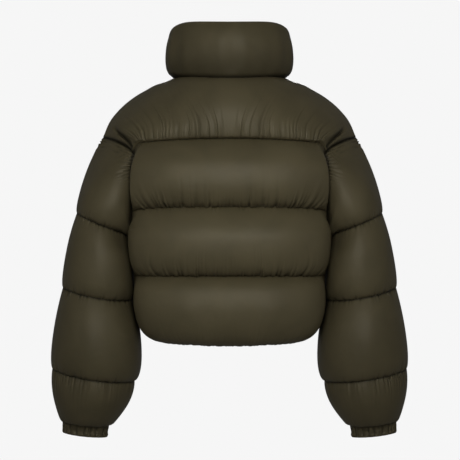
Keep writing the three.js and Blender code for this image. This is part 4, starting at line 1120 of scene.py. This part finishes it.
def group_sockets(group, inputs, outputs):
    for name, default in inputs:
        socket = group.interface.new_socket(name, in_out="INPUT", socket_type="NodeSocketFloat")
        socket.default_value = default
    for name, kind in outputs:
        group.interface.new_socket(name, in_out="OUTPUT", socket_type=kind)


def math_node(tree, operation, *values):
    """One math step. A number is set on its socket, and another node's output is linked to it."""
    node = tree.nodes.new("ShaderNodeMath")
    node.operation = operation
    for socket, value in zip(node.inputs, values):
        if isinstance(value, (int, float)):
            socket.default_value = value
        else:
            tree.links.new(value, socket)
    return node.outputs[0]


def weave_group():
    """Plain weave of fine threads, read from the cloth's own UV map: two crossed sets of
    rounded threads, each on top where the other dips."""
    if "Plain weave" in bpy.data.node_groups:
        return bpy.data.node_groups["Plain weave"]
    group = bpy.data.node_groups.new("Plain weave", "ShaderNodeTree")
    group_sockets(group, [("Threads per metre", 2200)], [("Height", "NodeSocketFloat")])
    nodes, links = group.nodes, group.links
    start, end = nodes.new("NodeGroupInput"), nodes.new("NodeGroupOutput")
    uv = nodes.new("ShaderNodeUVMap")
    uv.uv_map = "cloth"
    split = nodes.new("ShaderNodeSeparateXYZ")
    links.new(uv.outputs[0], split.inputs[0])
    turns = math_node(group, "MULTIPLY", start.outputs[0], float(np.pi))
    warp = math_node(group, "SINE", math_node(group, "MULTIPLY", split.outputs[0], turns))
    weft = math_node(group, "SINE", math_node(group, "MULTIPLY", split.outputs[1], turns))
    height = math_node(group, "MULTIPLY", warp, weft)
    links.new(math_node(group, "MULTIPLY_ADD", height, 0.5, 0.5), end.inputs[0])
    return group


def creases_group():
    """Soft creases of handled nylon: broad waves and finer ones across them."""
    if "Soft creases" in bpy.data.node_groups:
        return bpy.data.node_groups["Soft creases"]
    group = bpy.data.node_groups.new("Soft creases", "ShaderNodeTree")
    outputs = [("Height", "NodeSocketFloat"), ("Mask", "NodeSocketFloat")]
    group_sockets(group, [("Scale", 14), ("Fine", 0.35)], outputs)
    nodes, links = group.nodes, group.links
    start, end = nodes.new("NodeGroupInput"), nodes.new("NodeGroupOutput")
    place = nodes.new("ShaderNodeTexCoord")
    broad = nodes.new("ShaderNodeTexNoise")
    broad.inputs["Detail"].default_value = 2
    broad.inputs["Distortion"].default_value = 0.6
    fine = nodes.new("ShaderNodeTexNoise")
    fine.inputs["Detail"].default_value = 3
    links.new(place.outputs["Object"], broad.inputs["Vector"])
    links.new(place.outputs["Object"], fine.inputs["Vector"])
    links.new(start.outputs["Scale"], broad.inputs["Scale"])
    links.new(math_node(group, "MULTIPLY", start.outputs["Scale"], 5.0), fine.inputs["Scale"])
    fine_share = math_node(group, "MULTIPLY", fine.outputs["Fac"], start.outputs["Fine"])
    links.new(math_node(group, "ADD", broad.outputs["Fac"], fine_share), end.inputs["Height"])
    links.new(broad.outputs["Fac"], end.inputs["Mask"])
    return group


def new_material(name):
    material = bpy.data.materials.new(name)
    material.use_nodes = True
    tree = material.node_tree
    tree.nodes.clear()
    shader = tree.nodes.new("ShaderNodeBsdfPrincipled")
    output = tree.nodes.new("ShaderNodeOutputMaterial")
    tree.links.new(shader.outputs[0], output.inputs["Surface"])
    return material, tree, shader


def place_group(tree, group, **values):
    node = tree.nodes.new("ShaderNodeGroup")
    node.node_tree = group
    for name, value in values.items():
        node.inputs[name.replace("_", " ")].default_value = value
    return node


def ramp(tree, factor, stops):
    node = tree.nodes.new("ShaderNodeValToRGB")
    node.color_ramp.elements[0].position, node.color_ramp.elements[0].color = stops[0]
    node.color_ramp.elements[1].position, node.color_ramp.elements[1].color = stops[-1]
    tree.links.new(factor, node.inputs["Fac"])
    return node.outputs["Color"]


def bump(tree, height, distance, strength, normal=None):
    node = tree.nodes.new("ShaderNodeBump")
    node.inputs["Strength"].default_value = strength
    node.inputs["Distance"].default_value = distance
    tree.links.new(height, node.inputs["Height"])
    if normal is not None:
        tree.links.new(normal, node.inputs["Normal"])
    return node.outputs["Normal"]


def tint(colour, factor):
    return (*[min(1, channel * factor) for channel in colour], 1)


# Sockets of a Mix node that blends two colours
MIX_A, MIX_B, MIX_RESULT = 6, 7, 2


def painted_crease_shade(tree, colour, dark):
    """Painted shade: a colour that turns dark down in the creases, where the mesh's crease attribute is 1.
    """
    crease = tree.nodes.new("ShaderNodeAttribute")
    crease.attribute_name = "crease"
    blended = tree.nodes.new("ShaderNodeMix")
    blended.data_type = "RGBA"
    tree.links.new(crease.outputs["Fac"], blended.inputs["Factor"])
    tree.links.new(colour, blended.inputs[MIX_A])
    blended.inputs[MIX_B].default_value = dark
    return blended.outputs[MIX_RESULT]


def patchy_colour(tree, shader, creases, colour, dark, light):
    """Base colour between two shades, each given as a place of the mask and a factor."""
    stops = [(place, tint(colour, factor)) for place, factor in (dark, light)]
    tree.links.new(ramp(tree, creases.outputs["Mask"], stops), shader.inputs["Base Color"])


def patchy_roughness(tree, shader, creases, low, high):
    rough = tree.nodes.new("ShaderNodeMapRange")
    rough.inputs["To Min"].default_value = low
    rough.inputs["To Max"].default_value = high
    tree.links.new(creases.outputs["Mask"], rough.inputs["Value"])
    tree.links.new(rough.outputs["Result"], shader.inputs["Roughness"])


def shell_material(look, name="Satin nylon", painted_shade_factor=1.0, scale=16.0, depth=0.003):
    """Satin nylon: olive, lighter and duller in broad patches, with a fine weave, and darkened in the
    creases as painted shade. A shade factor under 1 makes a darker copy of it, also painted shade.
    """
    if name in bpy.data.materials:
        return bpy.data.materials[name]
    material, tree, shader = new_material(name)
    creases = place_group(tree, creases_group(), Scale=scale, Fine=0.3)
    weave = place_group(tree, weave_group(), Threads_per_metre=2000.0)
    ends = [(0.3, tint(look.shell, 0.9 * painted_shade_factor)), (0.72, tint(look.shell, 1.1 * painted_shade_factor))]
    colour = ramp(tree, creases.outputs["Mask"], ends)
    # Painted shade: the colour falls to about a sixth of the shell's where the crease attribute is 1
    tree.links.new(painted_crease_shade(tree, colour, tint(look.shell, 0.16)), shader.inputs["Base Color"])
    shader.inputs["Specular Tint"].default_value = (1, 0.93, 0.74, 1)
    patchy_roughness(tree, shader, creases, look.roughness - 0.05, look.roughness + 0.05)
    shader.inputs["Specular IOR Level"].default_value = 0.25
    soft = bump(tree, creases.outputs["Height"], depth, 0.35)
    tree.links.new(bump(tree, weave.outputs["Height"], 0.0001, 0.25, soft), shader.inputs["Normal"])
    return material


def thread_material(look):
    """Polyester thread, a shade darker than the shell, with the lay of its plies."""
    if "Thread" in bpy.data.materials:
        return bpy.data.materials["Thread"]
    material, tree, shader = new_material("Thread")
    creases = place_group(tree, creases_group(), Scale=500.0, Fine=0.8)
    patchy_colour(tree, shader, creases, look.shell, (0.3, 0.45), (0.7, 0.8))
    shader.inputs["Roughness"].default_value = 0.7
    tree.links.new(bump(tree, creases.outputs["Height"], 0.0001, 0.4), shader.inputs["Normal"])
    return material


def tape_material(look):
    """Woven polyester tape with small ribs across it, one to each millimetre or so."""
    if "Woven tape" in bpy.data.materials:
        return bpy.data.materials["Woven tape"]
    material, tree, shader = new_material("Woven tape")
    creases = place_group(tree, creases_group(), Scale=60.0, Fine=0.6)
    patchy_colour(tree, shader, creases, look.tape, (0.3, 0.85), (0.7, 1.2))
    shader.inputs["Roughness"].default_value = 0.85
    place = tree.nodes.new("ShaderNodeTexCoord")
    ribs = tree.nodes.new("ShaderNodeTexWave")
    ribs.bands_direction = "Z"
    ribs.inputs["Scale"].default_value = 320
    ribs.inputs["Distortion"].default_value = 1.5
    tree.links.new(place.outputs["Object"], ribs.inputs["Vector"])
    tree.links.new(bump(tree, ribs.outputs["Fac"], 0.0003, 0.6), shader.inputs["Normal"])
    return material


def metal_material(look, name="Dark lacquer", roughness=0.42, metallic=0.3):
    """A dark, satin hard surface: lacquered metal, or moulded plastic where metallic is 0."""
    if name in bpy.data.materials:
        return bpy.data.materials[name]
    material, tree, shader = new_material(name)
    creases = place_group(tree, creases_group(), Scale=220.0, Fine=0.6)
    patchy_colour(tree, shader, creases, look.metal, (0.25, 0.8), (0.75, 1.25))
    shader.inputs["Metallic"].default_value = metallic
    patchy_roughness(tree, shader, creases, roughness - 0.06, roughness + 0.08)
    tree.links.new(bump(tree, creases.outputs["Height"], 0.0001, 0.2), shader.inputs["Normal"])
    return material


def stage_material(strength, inside):
    """A pale surface that shows its own even light, brighter to the camera than to the jacket."""
    material = bpy.data.materials.new("Pale floor")
    material.use_nodes = True
    tree = material.node_tree
    tree.nodes.clear()
    path = tree.nodes.new("ShaderNodeLightPath")
    emission = tree.nodes.new("ShaderNodeEmission")
    emission.inputs["Color"].default_value = (1, 1, 1, 1)
    level = math_node(tree, "MULTIPLY", path.outputs["Is Camera Ray"], strength - inside)
    tree.links.new(math_node(tree, "ADD", level, inside), emission.inputs["Strength"])
    output = tree.nodes.new("ShaderNodeOutputMaterial")
    tree.links.new(emission.outputs[0], output.inputs["Surface"])
    return material


# Steps
CAMERA_X, CAMERA_Z = -0.00094, -0.2839


class JACKET_OT_camera(bpy.types.Operator):
    """Places the camera behind the jacket, level with its middle"""
    bl_idname = "jacket.camera"
    bl_label = "Camera"

    def execute(self, context):
        sizes = context.scene.jacket_studio
        data = bpy.data.cameras.new("back view")
        data.sensor_width = 36
        data.lens = 36 * sizes.distance / sizes.view_width
        camera = bpy.data.objects.new("back view", data)
        camera.location = (CAMERA_X, sizes.distance, CAMERA_Z)
        camera.rotation_euler = (np.pi / 2, 0, np.pi)
        context.scene.collection.objects.link(camera)
        context.scene.camera = camera
        return {"FINISHED"}


BACKDROP = 0.922
AMBIENT = 0.13
FLOOR_REACH = 30
# Lights: energy in watts, width in metres, and spread in degrees
KEY_LIGHT = (1.25, 0.6, 43)
SIDE_LIGHT = (2.8, 1.1, 180)


def area_light(name, place, aim, energy, size, spread):
    data = bpy.data.lights.new(name, "AREA")
    data.energy = energy
    data.size = size
    data.spread = np.radians(spread)
    light = bpy.data.objects.new(name, data)
    light.location = place
    light.rotation_euler = (Vector(aim) - Vector(place)).to_track_quat("-Z", "Y").to_euler()
    bpy.context.scene.collection.objects.link(light)


class JACKET_OT_stage(bpy.types.Operator):
    """Lays a plain pale floor and sets up soft studio light"""
    bl_idname = "jacket.stage"
    bl_label = "Floor and light"

    def execute(self, context):
        scene = context.scene
        scene.view_settings.view_transform = "Standard"
        floor_z = scene.jacket_studio.floor
        mesh = bpy.data.meshes.new("floor")
        signs = ((-1, -1), (1, -1), (1, 1), (-1, 1))
        corners = [(x * FLOOR_REACH, y * FLOOR_REACH, floor_z) for x, y in signs]
        mesh.from_pydata(corners, [], [(0, 1, 2, 3)])
        floor = bpy.data.objects.new("floor", mesh)
        scene.collection.objects.link(floor)
        floor.data.materials.append(stage_material(BACKDROP, AMBIENT))
        world = bpy.data.worlds.new("studio")
        world.use_nodes = True
        tree = world.node_tree
        path = tree.nodes.new("ShaderNodeLightPath")
        back = tree.nodes["Background"]
        back.inputs["Color"].default_value = (1, 1, 1, 1)
        level = math_node(tree, "MULTIPLY", path.outputs["Is Camera Ray"], BACKDROP - AMBIENT)
        tree.links.new(math_node(tree, "ADD", level, AMBIENT), back.inputs["Strength"])
        scene.world = world
        for name, side in (("back", 1), ("front", -1)):
            area_light(name + " key", (0, side * 2.0, 0.25), (0, 0, -0.25), *KEY_LIGHT)
        for hand, x in (("left", 1.7), ("right", -1.7)):
            area_light(hand + " light", (x, 1.6, 0.2), (0, 0, -0.3), *SIDE_LIGHT)
        return {"FINISHED"}


class JACKET_OT_back(bpy.types.Operator):
    """Builds the padded back and back yoke"""
    bl_idname = "jacket.back"
    bl_label = "Back"

    def execute(self, context):
        shell = shell_material(context.scene.jacket_look)
        for name, make in (("back", body_half), ("back_yoke", yoke_half)):
            inside, outside, deep = (both_halves(half) for half in make(1, zero_share))
            rows = [BAFFLE_ROWS, 2 * BAFFLE_ROWS] if name == "back" else [YOKE_STITCH_ROW]
            stitches(name + "_stitches", sewn_rows(inside, outside, rows))
            piece = closed_wall(name + "_padded", inside, outside, deep, thin_rows(len(inside), INSIDE_ROWS))
            dress(piece, [name], shell)
        return {"FINISHED"}


class JACKET_OT_fronts(bpy.types.Operator):
    """Builds the two padded fronts and their yokes"""
    bl_idname = "jacket.fronts"
    bl_label = "Fronts"

    def execute(self, context):
        shell = shell_material(context.scene.jacket_look)
        panels = (("front", body_half, zip_share), ("front_yoke", yoke_half, yoke_zip_share))
        for name, make, shares in panels:
            walls = make(-1, shares)
            inside, outside = walls[:2]
            rows = [BAFFLE_ROWS, 2 * BAFFLE_ROWS] if name == "front" else [YOKE_STITCH_ROW]
            both = [sewn_rows(inside, outside, rows, mirror) for mirror in (False, True)]
            stitches(name + "_stitches", both[0] + both[1])
            kept_rows = thin_rows(len(inside), INSIDE_ROWS)
            padded_pair(name, "_padded", walls, kept_rows, shell)
        return {"FINISHED"}


class JACKET_OT_sleeves(bpy.types.Operator):
    """Builds the two padded sleeves"""
    bl_idname = "jacket.sleeves"
    bl_label = "Sleeves"

    def execute(self, context):
        shell = shell_material(context.scene.jacket_look)
        walls = sleeve_wall()
        inside, outside = walls[:2]
        kept_rows = thin_rows(len(inside), SLEEVE_INSIDE_ROWS)
        padded_pair("sleeve", "_padded", walls, kept_rows, shell, wrap=True)
        rows = [SLEEVE_ROWS, 2 * SLEEVE_ROWS, 3 * SLEEVE_ROWS]
        for hand in ("left", "right"):
            stitches("sleeve_stitches_" + hand, sewn_rows(inside, outside, rows, hand == "right"))
        return {"FINISHED"}


class JACKET_OT_cuffs(bpy.types.Operator):
    """Builds the two elastic cuffs"""
    bl_idname = "jacket.cuffs"
    bl_label = "Cuffs"

    def execute(self, context):
        # The cuffs take a copy of the shell nylon at 0.9 of its colour, as painted shade
        gathered = shell_material(context.scene.jacket_look, "Gathered nylon", 0.9, 60.0, 0.001)
        walls = cuff_wall()
        kept_rows = list(range(0, len(walls[0]), 2))
        padded_pair("cuff", "_gathered", walls, kept_rows, gathered, wrap=True)
        return {"FINISHED"}


class JACKET_OT_collar(bpy.types.Operator):
    """Builds the padded funnel collar"""
    bl_idname = "jacket.collar"
    bl_label = "Collar"

    def execute(self, context):
        piece = skin_object("collar_padded", *collar_skin())
        dress(piece, ["collar"], shell_material(context.scene.jacket_look))
        return {"FINISHED"}


class JACKET_OT_zip(bpy.types.Operator):
    """Dresses the zip: tapes, teeth, slider and tab"""
    bl_idname = "jacket.zip"
    bl_label = "Zip"

    def execute(self, context):
        look = context.scene.jacket_look
        for hand in ("left", "right"):
            tape = mesh_from("tape_" + hand, *tube_faces(zip_tape(hand == "right")))
            dress(tape, ["zip_tape_" + hand], tape_material(look))
        teeth = mesh_from("teeth", *zip_teeth())
        dress(teeth, ["zip_chain"], metal_material(look, "Moulded teeth", 0.45, 0.0))
        slider = mesh_from("slider", *joined(slider_parts()))
        dress(slider, ["zip_slider"], metal_material(look))
        tab = mesh_from("tab", *ring_faces(tab_skin()))
        dress(tab, ["zip_pull"], metal_material(look), "pull")
        return {"FINISHED"}


STEPS = (
    JACKET_OT_camera, JACKET_OT_stage, JACKET_OT_back, JACKET_OT_fronts, JACKET_OT_sleeves,
    JACKET_OT_cuffs, JACKET_OT_collar, JACKET_OT_zip,
)


class JACKET_PT_panel(bpy.types.Panel):
    """Lists the steps that build the jacket"""
    bl_idname = "JACKET_PT_panel"
    bl_label = "Puffer Jacket"
    bl_space_type = "VIEW_3D"
    bl_region_type = "UI"
    bl_category = "Jacket"

    def draw(self, context):
        layout = self.layout
        for settings in (context.scene.jacket_look, context.scene.jacket_studio):
            for name in settings.bl_rna.properties.keys():
                if name not in ("rna_type", "name"):
                    layout.prop(settings, name)
        for step in STEPS:
            layout.operator(step.bl_idname)


CLASSES = (ClothLook, StudioSizes) + STEPS + (JACKET_PT_panel,)


def register():
    for item in CLASSES:
        bpy.utils.register_class(item)
    bpy.types.Scene.jacket_look = bpy.props.PointerProperty(type=ClothLook)
    bpy.types.Scene.jacket_studio = bpy.props.PointerProperty(type=StudioSizes)


def unregister():
    del bpy.types.Scene.jacket_studio
    del bpy.types.Scene.jacket_look
    for item in reversed(CLASSES):
        bpy.utils.unregister_class(item)


def main():
    register()
    for step in STEPS:
        group, name = step.bl_idname.split(".")
        getattr(getattr(bpy.ops, group), name)()


if __name__ == "__main__":
    main()
